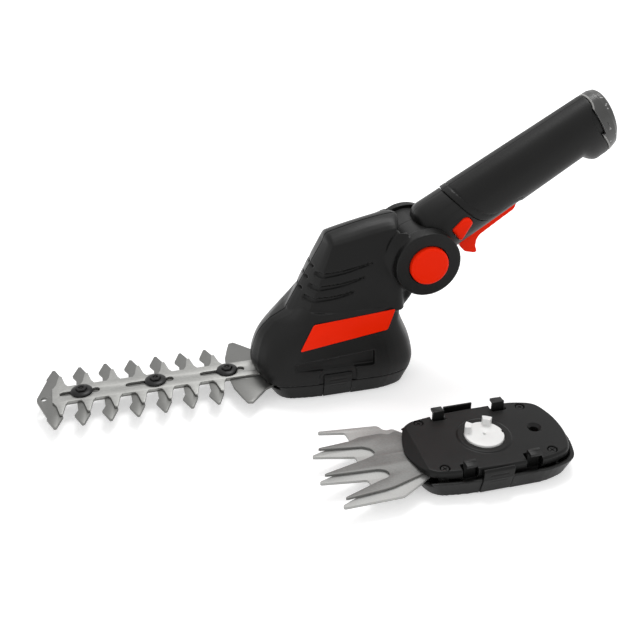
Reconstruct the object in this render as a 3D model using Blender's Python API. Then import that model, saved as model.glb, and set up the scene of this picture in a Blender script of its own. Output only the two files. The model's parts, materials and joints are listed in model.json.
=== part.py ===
"""Cordless shrub shears with a folding handle, and the grass-cutting head that goes with them.

Sizes are in millimetres and are turned into metres where a mesh is made. The origin lies on the
floor under the drive axis of the fitted cutting head. +X runs to the handle, -Y is the side with
the release button, +Z is up. Handle pieces are drawn in the handle's own frame, whose X runs
along the handle from its pivot, and then hang on the pivot's empty.
"""

import math

import bmesh
import bpy
from mathutils import Matrix, Vector
from mathutils.geometry import tessellate_polygon

MM = 0.001
GAP = 0.3
SPLIT = 0.15
AROUND = 18

# Cutting head, the cassette under the housing
CASSETTE_LENGTH = 112.0
CASSETTE_WIDTH = 67.0
TRAY_HEIGHT = 12.4
TRAY_WALL = 2.2
TRAY_FLOOR = 2.2
TRAY_UNDERCUT = 7.0
TRAY_DRAFT = 3.5
BLADE_LEVEL = 9.8
FIXED_BLADE = 1.8
MOVING_BLADE = 1.6
COVER_THICK = 4.7
COVER_INSET = 3.6
COVER_SCREW_X = 35.5
COVER_SCREW_Y = 23.0
LOCATING_HOLE = (34.5, 0.0, 2.9)
LOCATING_PIN = (-27.0, 13.0, 2.2)
MOUTH_BACK = 38.0
MOUTH_HALF = 27.5

# Hub and crank
HUB_RADIUS = 12.6
HUB_FLANGE = 2.0
HUB_TOP = 20.3
DOG_TOP = 25.0
DOG_HALF_ANGLE = 15.0
CRANK = 4.5
CRANK_PIN = 3.0

# Shrub blade
PITCH = 18.0
TEETH = 7
FIRST_TIP = -196.5
TIP_HALF = 34.3
NOSE_X = -208.0
STRIP_HALF = 9.3
MOVING_TIP_HALF = 22.8
REST_OFFSET = 4.5
GUIDE_X = (-177.9, -127.5, -77.0)
GUIDE_RADIUS = 7.5
GUIDE_BOSS = 2.2
SLOTS = ((-192.9, -165.6), (-148.3, -114.9), (-96.5, -64.6))

# Grass blade
COMB_PIVOT = (-34.0, 0.0)
COMB_PIN = 3.0
COMB_REST = math.asin(CRANK * math.sin(math.radians(26.6)) / -COMB_PIVOT[0])
GRASS_PLACE = (66.0, -122.0)

# Release latch
LATCH_TAB = (-14.5, 5.5)
LATCH_HOOKS = ((-25.0, -17.0), (16.5, 25.0))
LATCH_TOP = 20.3
HOOK_TOP = 23.5
LATCH_TRAVEL = 2.0

# Housing
SKIRT_BOTTOM = 12.8
SHELL_WALL = 2.4
SKIRT_LEVELS = ((SKIRT_BOTTOM, 57.0, 56.0, 34.0, 0.0), (20.0, 59.5, 57.0, 34.8, 0.1),
                (31.0, 58.0, 54.6, 34.2, 0.4), (44.0, 52.8, 49.0, 32.3, 0.9),
                (53.0, 49.0, 46.4, 30.6, 1.0), (66.0, 34.5, 46.5, 28.2, 1.0))
NECK_LOW = 60.0
NECK_NOSE = -33.6
NECK_HALF = 27.3
NECK_REAR = 48.0
TOP_NOSE = (-6.9, 107.5)
TOP_REAR = (45.0, 118.2)
TOP_HALF = 14.2
CROWN = 2.6
VENTS = ((-14.0, 20.0, 92.2), (-18.5, 13.5, 83.5), (-22.5, 6.0, 75.0))
VENT_HEIGHT = 2.6
VENT_DEPTH = 1.4
LABEL = ((-30.9, 41.5), (-20.6, 59.5), (37.2, 63.5), (31.2, 49.3))
LABEL_THICK = 1.0
LABEL_OFFSET = 32.4
LABEL_LEAN = 10.0
HEAD_SCREWS = ((-40.0, 38.0), (40.0, 38.0), (-19.5, 69.0), (28.0, 103.0))
SCREW_HEAD_Y = 12.0

# Drive train
MODULE = 0.7
MOTOR_TEETH = 10
IDLER_TEETH = 30
IDLER_PINION_TEETH = 12
OUTPUT_TEETH = 36
IDLER_X = MODULE * (OUTPUT_TEETH + IDLER_PINION_TEETH) / 2
MOTOR_X = IDLER_X - MODULE * (MOTOR_TEETH + IDLER_TEETH) / 2
LOWER_PLATE = 31.0
UPPER_PLATE = 49.5
PLATE_THICK = 2.5
OUTPUT_LOW = 38.2
OUTPUT_HIGH = 43.4
MOTOR_RADIUS = 13.85
MOTOR_LENGTH = 38.0

# Pivot
PIVOT = (59.0, 94.5)
EAR_RADIUS = 23.0
EAR_OUTER = 30.4
EAR_OUTER_FAR = 26.0
EAR_INNER = 20.2
CHEEK_RADIUS = 27.0
EAR_BORE = 13.9
EAR_FLOOR = 24.4
EAR_FLOOR_FAR = 22.8
PIN_RADIUS = 8.0
BUTTON_PROUD = 3.2
BUTTON_TRAVEL = 3.0
BUTTON_BACK = 28.2
STEM_RADIUS = 3.2

# Handle, in its own frame
HANDLE_ANGLE = 31.3
RAISE = 25.0
LOWER = 40.0
WAY_RADIUS = 23.4
WAY_ABOVE = 26.0
HUB_HANDLE_RADIUS = 20.6
HUB_HANDLE_HALF = 19.7
HANDLE_CENTRE = 4.6
TAPER = 0.00105
NECK_HEIGHT = 20.4
NECK_WIDTH = 18.9
GRIP_HEIGHT = 21.1
GRIP_WIDTH = 19.6
CORE_HEIGHT = 19.0
CORE_WIDTH = 17.5
HANDLE_WALL = 2.0
CORE_END = 147.2
HEEL_START = 130.0
HEEL_DROP = 9.0
CAP_END = 160.0
GRIP_EDGE = ((34.0, 30.0), (51.5, -6.5), (77.2, -10.4), (80.0, -15.0), (79.0, -34.0))
CAP_EDGE = ((148.6, 45.0), (148.9, 20.0), (143.2, 11.5), (143.4, 8.5), (147.6, -13.0), (148.0, -60.0))
CELL_RADIUS = 9.15
CELL_LENGTH = 65.0
CELL_LEVEL = 8.7
TRIGGER_AXIS = (76.0, -9.8)
TRIGGER_HALF = 5.5
TRIGGER_TRAVEL = 5.0
LOCK_SHAPE = ((26.2, 5.3), (37.0, 7.8), (40.6, 6.3), (41.3, 1.2), (27.6, -5.8))
LOCK_TRAVEL = 2.5
HANDLE_HEAD_Y = 8.4
HANDLE_SCREWS = ((68.0, -4.9), (128.0, -5.0))

MOVING_LEVEL = BLADE_LEVEL + FIXED_BLADE + GAP
BLADE_TOP = MOVING_LEVEL + MOVING_BLADE
COVER_LOW = BLADE_TOP + 0.4
COVER_TOP = COVER_LOW + COVER_THICK
HALF_LENGTH = CASSETTE_LENGTH / 2
HALF_WIDTH = CASSETTE_WIDTH / 2

# Plan of one side of the housing, nose to tail: part of the length, part of the half width low
# down, and part of the half width higher up, where the sides are flatter.
PLAN = ((-0.96, 0.39, 0.33), (-0.87, 0.76, 0.70), (-0.78, 0.87, 0.86), (-0.27, 0.985, 1.0),
        (0.18, 1.0, 1.0), (0.68, 0.955, 0.985), (0.875, 0.81, 0.88), (0.973, 0.42, 0.5))


def look(name, colour, roughness, metallic=0.0):
    """A material with one colour and finish."""
    made = bpy.data.materials.new(name)
    made.use_nodes = True
    shader = made.node_tree.nodes["Principled BSDF"]
    shader.inputs["Base Color"].default_value = (*colour, 1.0)
    shader.inputs["Roughness"].default_value = roughness
    shader.inputs["Metallic"].default_value = metallic
    return made


def solid(name, shape, finish=None, parent=None, origin=(0.0, 0.0, 0.0)):
    """An object from a shape in millimetres, with its own origin at the given point."""
    bmesh.ops.translate(shape, verts=shape.verts, vec=-Vector(origin))
    bmesh.ops.scale(shape, verts=shape.verts, vec=(MM, MM, MM))
    bmesh.ops.recalc_face_normals(shape, faces=shape.faces)
    mesh = bpy.data.meshes.new(name)
    shape.to_mesh(mesh)
    shape.free()
    mesh.shade_smooth()
    mesh.set_sharp_from_angle(angle=math.radians(35))
    if finish:
        mesh.materials.append(finish)
    obj = bpy.data.objects.new(name, mesh)
    bpy.context.collection.objects.link(obj)
    obj.parent = parent
    obj.location = Vector(origin) * MM
    return obj


def combine(target, shape, operation, parent=None):
    """Adds a shape to an object or takes it away, with a hidden helper object."""
    tool = solid("helper", shape, parent=parent or target.parent)
    combine_object(target, tool, operation)
    return tool


def combine_object(target, tool, operation):
    tool.hide_render = True
    tool.display_type = "WIRE"
    step = target.modifiers.new(operation.title(), "BOOLEAN")
    step.operation = operation
    step.object = tool


def cut(target, shape, parent=None):
    return combine(target, shape, "DIFFERENCE", parent)


def join(target, shape, parent=None):
    return combine(target, shape, "UNION", parent)


def empty(name, place, parent=None, turn_y=0.0):
    """A frame that other pieces hang on."""
    obj = bpy.data.objects.new(name, None)
    bpy.context.collection.objects.link(obj)
    obj.parent = parent
    obj.location = Vector(place) * MM
    obj.rotation_euler = (0.0, math.radians(turn_y), 0.0)
    return obj


def loft(rings, ridge=None):
    """A closed shape through rings of points. A ridge, if given, is the roof's centre line."""
    shape = bmesh.new()
    rows = [[shape.verts.new(point) for point in ring] for ring in rings]
    for low, high in zip(rows, rows[1:]):
        for i in range(len(low)):
            j = (i + 1) % len(low)
            shape.faces.new((low[i], low[j], high[j], high[i]))
    shape.faces.new(rows[0])
    if ridge is None:
        shape.faces.new(rows[-1])
    else:
        roof(shape, rows[-1], ridge)
    shape.normal_update()
    bent = [face for face in shape.faces if bend(face) > 0.001]
    bmesh.ops.triangulate(shape, faces=bent)
    return shape


def bend(face):
    """How far a face's corners lie off its plane. A Boolean needs flat faces."""
    centre = face.calc_center_median()
    return max(abs((vert.co - centre).dot(face.normal)) for vert in face.verts)


def roof(shape, ring, ridge):
    """Closes a ring whose first point is the nose, over a centre line of points."""
    half = len(ring) // 2
    centre = [ring[0]] + [shape.verts.new(point) for point in ridge] + [ring[half]]
    for side in (ring[: half + 1], [ring[0]] + ring[:half - 1:-1]):
        for i in range(half):
            corners = []
            for vert in (side[i], side[i + 1], centre[i + 1], centre[i]):
                if vert not in corners:
                    corners.append(vert)
            shape.faces.new(corners)


def plate(loops, low, high):
    """A flat plate between two levels: its outline, then any holes."""
    points = [point for loop in loops for point in loop]
    flat = [[Vector((x, y, 0.0)) for x, y in loop] for loop in loops]
    shape = bmesh.new()
    under = [shape.verts.new((x, y, low)) for x, y in points]
    over = [shape.verts.new((x, y, high)) for x, y in points]
    for a, b, c in tessellate_polygon(flat):
        shape.faces.new((under[c], under[b], under[a]))
        shape.faces.new((over[a], over[b], over[c]))
    start = 0
    for loop in loops:
        for i in range(len(loop)):
            a = start + i
            b = start + (i + 1) % len(loop)
            shape.faces.new((under[a], under[b], over[b], over[a]))
        start += len(loop)
    return shape


def box(low, high):
    corners = ((low[0], low[1]), (high[0], low[1]), (high[0], high[1]), (low[0], high[1]))
    return plate([corners], low[2], high[2])


def circle(x, y, radius, count=AROUND, start=0.0):
    step = 2 * math.pi / count
    return [(x + radius * math.cos(start + i * step), y + radius * math.sin(start + i * step))
            for i in range(count)]


def rod(x, y, radius, low, high, count=AROUND):
    return plate([circle(x, y, radius, count)], low, high)


def turned(profile, count=AROUND):
    """A turned piece about Z. Its profile of (radius, height) runs from axis to axis."""
    shape = bmesh.new()
    rows = []
    for radius, height in profile:
        if radius == 0.0:
            rows.append([shape.verts.new((0.0, 0.0, height))])
        else:
            rows.append([shape.verts.new((x, y, height)) for x, y in circle(0, 0, radius, count)])
    for low, high in zip(rows, rows[1:]):
        for i in range(count):
            j = (i + 1) % count
            corners = (low[i % len(low)], low[j % len(low)], high[j % len(high)], high[i % len(high)])
            shape.faces.new(tuple(dict.fromkeys(corners)))
    return shape


def tube(profile, count=AROUND):
    """A turned ring about Z from a closed profile that stays clear of the axis."""
    shape = bmesh.new()
    rows = [[shape.verts.new((x, y, height)) for x, y in circle(0, 0, radius, count)]
            for radius, height in profile]
    for low, high in zip(rows, rows[1:] + rows[:1]):
        for i in range(count):
            j = (i + 1) % count
            shape.faces.new((low[i], low[j], high[j], high[i]))
    return shape


def upright(shape):
    """Swaps Y and Z, so that a shape drawn flat stands up with its thickness along Y."""
    for vert in shape.verts:
        vert.co = (vert.co.x, vert.co.z, vert.co.y)
    return shape


def moved(shape, x=0.0, y=0.0, z=0.0):
    bmesh.ops.translate(shape, verts=shape.verts, vec=(x, y, z))
    return shape


def rotated(shape, degrees, axis, centre=(0.0, 0.0, 0.0)):
    bmesh.ops.rotate(shape, verts=shape.verts, cent=centre,
                     matrix=Matrix.Rotation(math.radians(degrees), 3, axis))
    return shape


def coil(radius, wire, turns, length, count=9, sides=5):
    """A compression spring along Z, standing on the origin."""
    shape = bmesh.new()
    steps = int(turns * count)
    rows = []
    for i in range(steps + 1):
        angle = 2 * math.pi * i / count
        height = wire + (length - 2 * wire) * i / steps
        out = Vector((math.cos(angle), math.sin(angle), 0.0))
        rows.append([shape.verts.new(out * (radius + wire * math.cos(t)) + Vector((0, 0, height
                     + wire * math.sin(t)))) for t in (2 * math.pi * k / sides for k in range(sides))])
    for low, high in zip(rows, rows[1:]):
        for i in range(sides):
            j = (i + 1) % sides
            shape.faces.new((low[i], low[j], high[j], high[i]))
    shape.faces.new(rows[0])
    shape.faces.new(rows[-1])
    return shape


def gear_outline(teeth, turn=0.0):
    """A spur gear's outline, four points a tooth, with running play at the pitch circle."""
    pitch_radius = MODULE * teeth / 2
    root = pitch_radius - 1.2 * MODULE
    tip = pitch_radius + 0.75 * MODULE
    step = 2 * math.pi / teeth
    points = []
    for i in range(teeth):
        middle = turn + i * step
        for radius, part in ((root, -0.29), (tip, -0.10), (tip, 0.10), (root, 0.29)):
            angle = middle + part * step
            points.append((radius * math.cos(angle), radius * math.sin(angle)))
    return points


def closed_plan(left_side, nose, tail):
    """A whole outline from its left side, nose to tail, and the two points on the centre line."""
    right_side = [(x, -y) for x, y in reversed(left_side)]
    return [(nose, 0.0)] + list(left_side) + [(tail, 0.0)] + right_side


def plan(front, rear, half, high=0.0):
    """The housing's outline at a level, from its reach to the front, the rear and each side."""
    side = []
    for along, low_part, high_part in PLAN:
        reach = front if along < 0 else rear
        part = low_part + (high_part - low_part) * high
        side.append((along * reach, -half * part))
    return closed_plan(side, -front, rear)


def level(outline, z):
    return [(x, y, z) for x, y in outline]


def half_space(side, reach=400.0):
    """All that lies on one side of the centre plane, less half the gap between the shells."""
    low, high = sorted((side * SPLIT, side * reach))
    return box((-reach, low, -reach), (reach, high, reach))


# Cutting head


def tray(name, place, finish):
    """The bottom tray of a cutting head, with posts, ribs and room for the two latches."""
    floor = plan(HALF_LENGTH - TRAY_UNDERCUT, HALF_LENGTH - 5.0, HALF_WIDTH - TRAY_DRAFT)
    rim = plan(HALF_LENGTH, HALF_LENGTH, HALF_WIDTH)
    obj = solid(name, loft([level(floor, 0.0), level(rim, TRAY_HEIGHT)]), finish, place)
    inner_floor = plan(HALF_LENGTH - TRAY_UNDERCUT - TRAY_WALL, HALF_LENGTH - 5.0 - TRAY_WALL,
                       HALF_WIDTH - TRAY_DRAFT - TRAY_WALL)
    inner_rim = plan(HALF_LENGTH - TRAY_WALL, HALF_LENGTH - TRAY_WALL, HALF_WIDTH - TRAY_WALL)
    cut(obj, loft([level(inner_floor, TRAY_FLOOR), level(inner_rim, TRAY_HEIGHT + 1.0)]))
    sink = TRAY_FLOOR - 0.5
    for x in (-COVER_SCREW_X, COVER_SCREW_X):
        for y in (-COVER_SCREW_Y, COVER_SCREW_Y):
            join(obj, rod(x, y, 3.4, sink, COVER_LOW - GAP, 12))
    for x in (-42.0, -25.5):
        join(obj, box((x, -17.0, sink), (x + 3.0, 17.0, BLADE_LEVEL - GAP)))
    pin_x, pin_y, pin_radius = LOCATING_PIN
    for y in (-pin_y, pin_y):
        join(obj, rod(pin_x, y, pin_radius, sink, COVER_LOW - GAP, 12))
    cut(obj, box((-HALF_LENGTH - 5.0, -MOUTH_HALF, BLADE_LEVEL - GAP),
                 (-MOUTH_BACK, MOUTH_HALF, TRAY_HEIGHT + 1.0)))
    for side in (-1, 1):
        low, high = sorted((side * (HALF_WIDTH - TRAY_DRAFT - 5.0), side * (HALF_WIDTH + 5.0)))
        cut(obj, box((LATCH_TAB[0] - GAP, low, -1.0), (LATCH_TAB[1] + GAP, high, TRAY_HEIGHT + 1.0)))
        for x in (-COVER_SCREW_X, COVER_SCREW_X):
            cut(obj, rod(x, side * COVER_SCREW_Y, 1.6, 4.0, COVER_LOW + 1.0, 10))
    return obj


def cover(name, place, finish):
    """The top plate of a cutting head, which holds the hub and lets the hooks through."""
    reach = HALF_LENGTH - COVER_INSET
    low = plan(reach, reach, HALF_WIDTH - COVER_INSET)
    high = plan(reach - 1.0, reach - 1.0, HALF_WIDTH - COVER_INSET - 1.0)
    shoulder = COVER_TOP - 1.2
    obj = solid(name, loft([level(low, COVER_LOW), level(low, shoulder), level(high, COVER_TOP)]),
                finish, place)
    cut(obj, rod(0.0, 0.0, HUB_RADIUS + GAP, COVER_LOW - 1.0, COVER_TOP + 1.0))
    cut(obj, rod(0.0, 0.0, HUB_RADIUS + HUB_FLANGE + GAP, COVER_LOW - 1.0, 17.3))
    x, y, radius = LOCATING_HOLE
    cut(obj, rod(x, y, radius, COVER_LOW - 1.0, COVER_TOP + 1.0, 16))
    for side in (-1, 1):
        for hook in LATCH_HOOKS:
            low_y, high_y = sorted((side * 22.4, side * (HALF_WIDTH + 2.0)))
            cut(obj, box((hook[0] - 0.6, low_y, COVER_LOW - 1.0), (hook[1] + 0.6, high_y, COVER_TOP + 1.0)))
        for x in (-COVER_SCREW_X, COVER_SCREW_X):
            cut(obj, rod(x, side * COVER_SCREW_Y, 1.6, COVER_LOW - 1.0, COVER_TOP + 1.0, 10))
            cut(obj, rod(x, side * COVER_SCREW_Y, 3.1, COVER_TOP - 2.2, COVER_TOP + 1.0, 14))
    return obj


def cover_screw(name, place, x, y, finish):
    head_low = COVER_TOP - 1.9
    profile = ((0.0, 6.0), (1.3, 6.0), (1.3, head_low), (2.8, head_low), (2.8, head_low + 1.3),
               (0.0, head_low + 1.3))
    solid(name, moved(turned(profile, 12), x, y), finish, place, (x, y, 0.0))


def latch(name, place, side, finish):
    """One side's release latch: the outside tab, a bar inside the tray, and two hooks."""
    bottom = HALF_WIDTH - TRAY_DRAFT + 0.4
    top = HALF_WIDTH + 0.9
    section = ((bottom, 0.7), (HALF_WIDTH + 0.4, TRAY_HEIGHT), (top, LATCH_TOP - 1.5), (top - 0.8, LATCH_TOP),
               (HALF_WIDTH - 1.1, LATCH_TOP), (HALF_WIDTH - 1.1, TRAY_HEIGHT), (bottom - 2.4, 0.7))
    rings = [[(x, side * y, z) for y, z in section] for x in LATCH_TAB]
    obj = solid(name, loft(rings), finish, place)
    low_y, high_y = sorted((side * 26.6, side * (HALF_WIDTH - 1.6)))
    join(obj, box((LATCH_TAB[0] + 0.6, low_y, 7.0), (LATCH_TAB[1] - 0.6, high_y, 10.4)))
    bar = sorted((side * 24.8, side * 27.0))
    join(obj, box((LATCH_HOOKS[0][0], bar[0], 6.4), (LATCH_HOOKS[1][1], bar[1], 11.0)))
    lip = sorted((side * 26.3, side * 30.4))
    for start, end in LATCH_HOOKS:
        join(obj, box((start + 0.2, bar[0] + 0.1, 8.0), (end - 0.2, bar[1] - 0.1, HOOK_TOP)))
        join(obj, box((start + 0.4, lip[0], HOOK_TOP - 2.0), (end - 0.4, lip[1], HOOK_TOP - 0.2)))
    return obj


def hub(name, place, pin_angle, finish):
    """The nylon hub: a flanged disc with two driving dogs on top and the crank pin below."""
    flange_low = BLADE_TOP + 2.1
    profile = ((0.0, flange_low), (HUB_RADIUS + HUB_FLANGE, flange_low),
               (HUB_RADIUS + HUB_FLANGE, flange_low + 1.4), (HUB_RADIUS, flange_low + 1.4),
               (HUB_RADIUS, HUB_TOP - 0.5), (HUB_RADIUS - 0.5, HUB_TOP), (1.2, HUB_TOP),
               (0.0, HUB_TOP - 1.0))
    obj = solid(name, turned(profile), finish, place)
    pin_x = CRANK * math.cos(math.radians(pin_angle))
    pin_y = CRANK * math.sin(math.radians(pin_angle))
    join(obj, rod(pin_x, pin_y, CRANK_PIN, BLADE_TOP + GAP, flange_low + 0.5, 14))
    for middle in (60.0, 150.0):
        join(obj, plate([dog_outline(middle, HUB_RADIUS - 4.2, HUB_RADIUS - 0.1, DOG_HALF_ANGLE)],
                        HUB_TOP - 1.0, DOG_TOP))
    return obj


def dog_outline(middle, inner, outer, half_angle):
    points = []
    for radius, part in ((inner, -1), (inner, 1), (outer, 1), (outer, 0.33), (outer, -0.33), (outer, -1)):
        angle = math.radians(middle + part * half_angle)
        points.append((radius * math.cos(angle), radius * math.sin(angle)))
    return points


# Shrub blades


def shrub_fixed_outline():
    """Half of the fixed blade from the nose to its tail: one spearhead for each tooth."""
    side = [(NOSE_X, -1.5), (FIRST_TIP - 0.8, -TIP_HALF)]
    for k in range(TEETH):
        tip = FIRST_TIP + PITCH * k
        if k:
            side += [(tip - 2.9, -14.0), (tip - 2.7, -18.4), (tip - 5.2, -23.6), (tip - 0.8, -TIP_HALF)]
        side += [(tip + 0.8, -TIP_HALF), (tip + 5.4, -23.0), (tip + 3.4, -18.0), (tip + 3.4, -14.0)]
        side += [(tip + 4.6, -8.0)] if k < TEETH - 1 else [(tip + 6.0, -8.0)]
        if k < TEETH - 1:
            side += [(tip + PITCH - 4.6, -8.0)]
    return side


def shrub_fixed_blade(finish):
    wing = [(-76.4, -9.0), (-75.6, -18.5), (-72.0, -31.0), (-69.5, -38.2), (-66.0, -39.0),
            (-60.5, -33.0), (-54.0, -25.7), (-46.0, -22.0), (-43.0, -17.0), (-20.0, -17.0)]
    side = shrub_fixed_outline() + wing
    outline = side + [(x, -y) for x, y in reversed(side)]
    holes = [circle(x, 0.0, GUIDE_BOSS + GAP, 12) for x in GUIDE_X]
    holes.append(circle(NOSE_X + 4.6, 0.0, 2.1, 12))
    pin_x, pin_y, pin_radius = LOCATING_PIN
    holes += [circle(pin_x, y, pin_radius + GAP, 12) for y in (-pin_y, pin_y)]
    solid("shrub_fixed_blade", plate([outline] + holes, BLADE_LEVEL, BLADE_LEVEL + FIXED_BLADE), finish)


def slot(start, end, half, knob):
    """A guide slot: a narrow way with a rounded wider end."""
    points = [(start + half, -half), (end - knob - 1.0, -half)]
    points += [(end - knob + knob * math.cos(a), knob * math.sin(a))
               for a in (math.radians(d) for d in (-110, -60, 0, 60, 110))]
    points += [(end - knob - 1.0, half), (start + half, half), (start, half * 0.4), (start, -half * 0.4)]
    return points


def shrub_moving_blade(finish):
    """The sliding blade: a strip with trapezoid teeth, guide slots and a yoke for the crank."""
    side = [(FIRST_TIP - 1.0, -4.0), (FIRST_TIP - 1.0, -STRIP_HALF + 1.0)]
    for k in range(TEETH):
        tip = FIRST_TIP + REST_OFFSET + PITCH * k
        side += [(tip - 4.6, -STRIP_HALF), (tip - 2.9, -12.5), (tip - 0.9, -MOVING_TIP_HALF),
                 (tip + 0.9, -MOVING_TIP_HALF), (tip + 3.1, -12.5), (tip + 4.9, -STRIP_HALF)]
    side += [(-20.0, -STRIP_HALF), (-13.0, -11.0), (10.5, -11.0)]
    outline = side + [(x, -y) for x, y in reversed(side)]
    holes = [slot(start, end, GUIDE_BOSS + GAP, GUIDE_BOSS + 0.8) for start, end in SLOTS]
    reach = CRANK_PIN + GAP
    yoke = CRANK + CRANK_PIN + GAP
    holes.append([(CRANK - reach, -yoke), (CRANK + reach, -yoke), (CRANK + reach, yoke),
                  (CRANK - reach, yoke)])
    solid("shrub_moving_blade", plate([outline] + holes, MOVING_LEVEL, BLADE_TOP), finish)


def shrub_guide(name, x, finish):
    """A guide screw with its washer: it holds the sliding blade down on the fixed one."""
    under = BLADE_LEVEL - GAP
    top = BLADE_TOP + GAP
    profile = ((0.0, under - 0.9), (3.6, under - 0.9), (3.6, under), (GUIDE_BOSS, under),
               (GUIDE_BOSS, top), (GUIDE_RADIUS, top), (GUIDE_RADIUS, top + 0.9), (6.4, top + 1.5),
               (4.4, top + 1.7), (3.7, top + 3.0), (1.6, top + 3.2), (0.0, top + 2.2))
    solid(name, moved(turned(profile, 12), x), finish, None, (x, 0.0, 0.0))


# Grass blades

GRASS_FIXED = ((-60.3, 35.8), (-98.0, 39.6), (-98.4, 37.8), (-81.5, 34.0), (-80.5, 25.2),
               (-107.3, 17.2), (-107.8, 15.4), (-82.0, 9.2), (-81.6, 1.4), (-109.3, -7.8),
               (-109.3, -9.6), (-81.0, -13.5), (-79.6, -21.5), (-101.6, -31.4), (-101.2, -33.4),
               (-64.2, -32.8), (-51.5, -25.2), (-43.5, -20.0), (-41.0, -17.0), (-20.0, -17.0),
               (-20.0, 17.0), (-41.0, 17.0), (-44.0, 22.5), (-47.3, 26.6), (-50.7, 30.0),
               (-55.0, 29.6), (-57.2, 31.2), (-58.4, 34.4))
GRASS_MOVING = ((-44.0, 20.5), (-50.8, 25.4), (-55.8, 22.8), (-60.2, 25.2), (-75.5, 25.0),
                (-80.5, 22.8), (-102.6, 21.0), (-102.8, 19.9), (-75.5, 15.6), (-71.0, 12.6),
                (-69.3, 8.4), (-71.5, 5.2), (-78.5, 3.0), (-105.2, -3.8), (-105.3, -5.0),
                (-72.6, -7.6), (-68.4, -9.4), (-66.6, -13.0), (-68.8, -16.4), (-75.5, -18.2),
                (-98.8, -27.0), (-98.6, -28.2), (-74.0, -26.0), (-67.9, -25.0), (-49.0, -18.9),
                (-42.0, -14.5), (-38.0, -9.5))


def grass_fixed_comb(place, finish):
    pin_x, pin_y, pin_radius = LOCATING_PIN
    holes = [circle(pin_x, y, pin_radius + GAP, 12) for y in (-pin_y, pin_y)]
    holes.append(circle(*COMB_PIVOT, COMB_PIN + GAP, 14))
    solid("grass_fixed_comb", plate([GRASS_FIXED] + holes, BLADE_LEVEL, BLADE_LEVEL + FIXED_BLADE),
          finish, place)


def grass_moving_comb(place, finish):
    """The swinging comb. Its tail runs from the pivot to the crank and ends in a slotted yoke."""
    def along(distance, aside):
        x = COMB_PIVOT[0] + distance * math.cos(COMB_REST) + aside * math.sin(COMB_REST)
        return x, COMB_PIVOT[1] - distance * math.sin(COMB_REST) + aside * math.cos(COMB_REST)
    arm = -COMB_PIVOT[0]
    far = arm + CRANK + CRANK_PIN + 3.0
    half = CRANK_PIN + GAP
    tail = [along(10.0, -7.0), along(far - 18.0, -8.0), along(far, -8.0), along(far, 8.0),
            along(far - 18.0, 8.0), along(10.0, 7.0), along(-2.0, 9.5)]
    reach = CRANK + CRANK_PIN + GAP
    yoke = [along(arm - reach, -half), along(arm + reach, -half), along(arm + reach, half),
            along(arm - reach, half)]
    pivot = circle(*COMB_PIVOT, COMB_PIN + GAP, 14)
    solid("grass_moving_comb", plate([list(GRASS_MOVING) + tail, pivot, yoke], MOVING_LEVEL, BLADE_TOP),
          finish, place, (*COMB_PIVOT, 0.0))


def comb_pivot(place, finish):
    profile = ((0.0, TRAY_FLOOR + GAP), (COMB_PIN, TRAY_FLOOR + GAP), (COMB_PIN, COVER_LOW - GAP),
               (0.0, COVER_LOW - GAP))
    solid("comb_pivot_pin", moved(turned(profile, 14), *COMB_PIVOT), finish, place, (*COMB_PIVOT, 0.0))


# Housing


def neck_side(height):
    """One side of the upper housing at a share of its height: 0 at its foot, 1 at its sloping top."""
    foot = ((-31.5, -8.0), (-28.0, -17.0), (-24.5, -22.6), (-8.0, -NECK_HALF), (16.0, -NECK_HALF),
            (36.0, -NECK_HALF), (44.0, -25.0), (NECK_REAR - 1.0, -14.0))
    nose_x, nose_z = TOP_NOSE
    rear_x, rear_z = TOP_REAR
    top = ((nose_x + 0.6, -5.0), (nose_x + 1.6, -9.5), (nose_x + 3.6, -TOP_HALF + 0.6), (8.0, -TOP_HALF),
           (20.0, -TOP_HALF), (32.0, -TOP_HALF - 0.4), (40.0, -TOP_HALF - 1.4), (rear_x - 0.6, -8.0))
    points = []
    for (x0, y0), (x1, y1) in zip(foot, top):
        top_z = nose_z + (x1 - nose_x) / (rear_x - nose_x) * (rear_z - nose_z)
        bulge = 6.0 * height * (1 - height) * (abs(y0) / NECK_HALF)
        points.append((x0 + (x1 - x0) * height, y0 + (y1 - y0) * height - bulge,
                       NECK_LOW + (top_z - NECK_LOW) * height))
    return points


def neck_ring(height, inset=0.0):
    side = neck_side(height)
    nose = (NECK_NOSE + (TOP_NOSE[0] - NECK_NOSE) * height, 0.0,
            NECK_LOW + (TOP_NOSE[1] - NECK_LOW) * height)
    tail = (NECK_REAR + (TOP_REAR[0] - NECK_REAR) * height, 0.0,
            NECK_LOW + (TOP_REAR[1] - NECK_LOW) * height)
    right = [(x, -y, z) for x, y, z in reversed(side)]
    ring = [nose] + side + [tail] + right
    middle = (nose[0] + tail[0]) / 2
    half = (tail[0] - nose[0]) / 2
    widest = max(abs(y) for _, y, _ in ring)
    return [(middle + (x - middle) * (1 - inset / half), y * (1 - inset / widest), z) for x, y, z in ring]


def neck(inset=0.0):
    """The upper housing as a closed shape, or the hollow inside it when an inset is given."""
    rings = [neck_ring(height, inset) for height in (0.0, 0.3, 0.6, 0.85, 1.0)]
    if inset:
        rings = [[(x, y, z - inset) for x, y, z in ring] for ring in rings]
    crowns = (0.2, 0.35, 0.45, 0.6, 0.75, 0.9, 1.0, 1.0)
    last = rings[-1]
    ridge = [(last[i + 1][0], 0.0, last[i + 1][2] + CROWN * part) for i, part in enumerate(crowns)]
    return loft(rings, ridge)


def skirt(inset=0.0):
    rings = []
    for z, front, rear, half, high in SKIRT_LEVELS:
        outline = plan(front - inset, rear - inset, half - inset, high)
        ends = z in (SKIRT_LEVELS[0][0], SKIRT_LEVELS[-1][0])
        rings.append(level(outline, z - inset if ends else z))
    return loft(rings)


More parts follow.
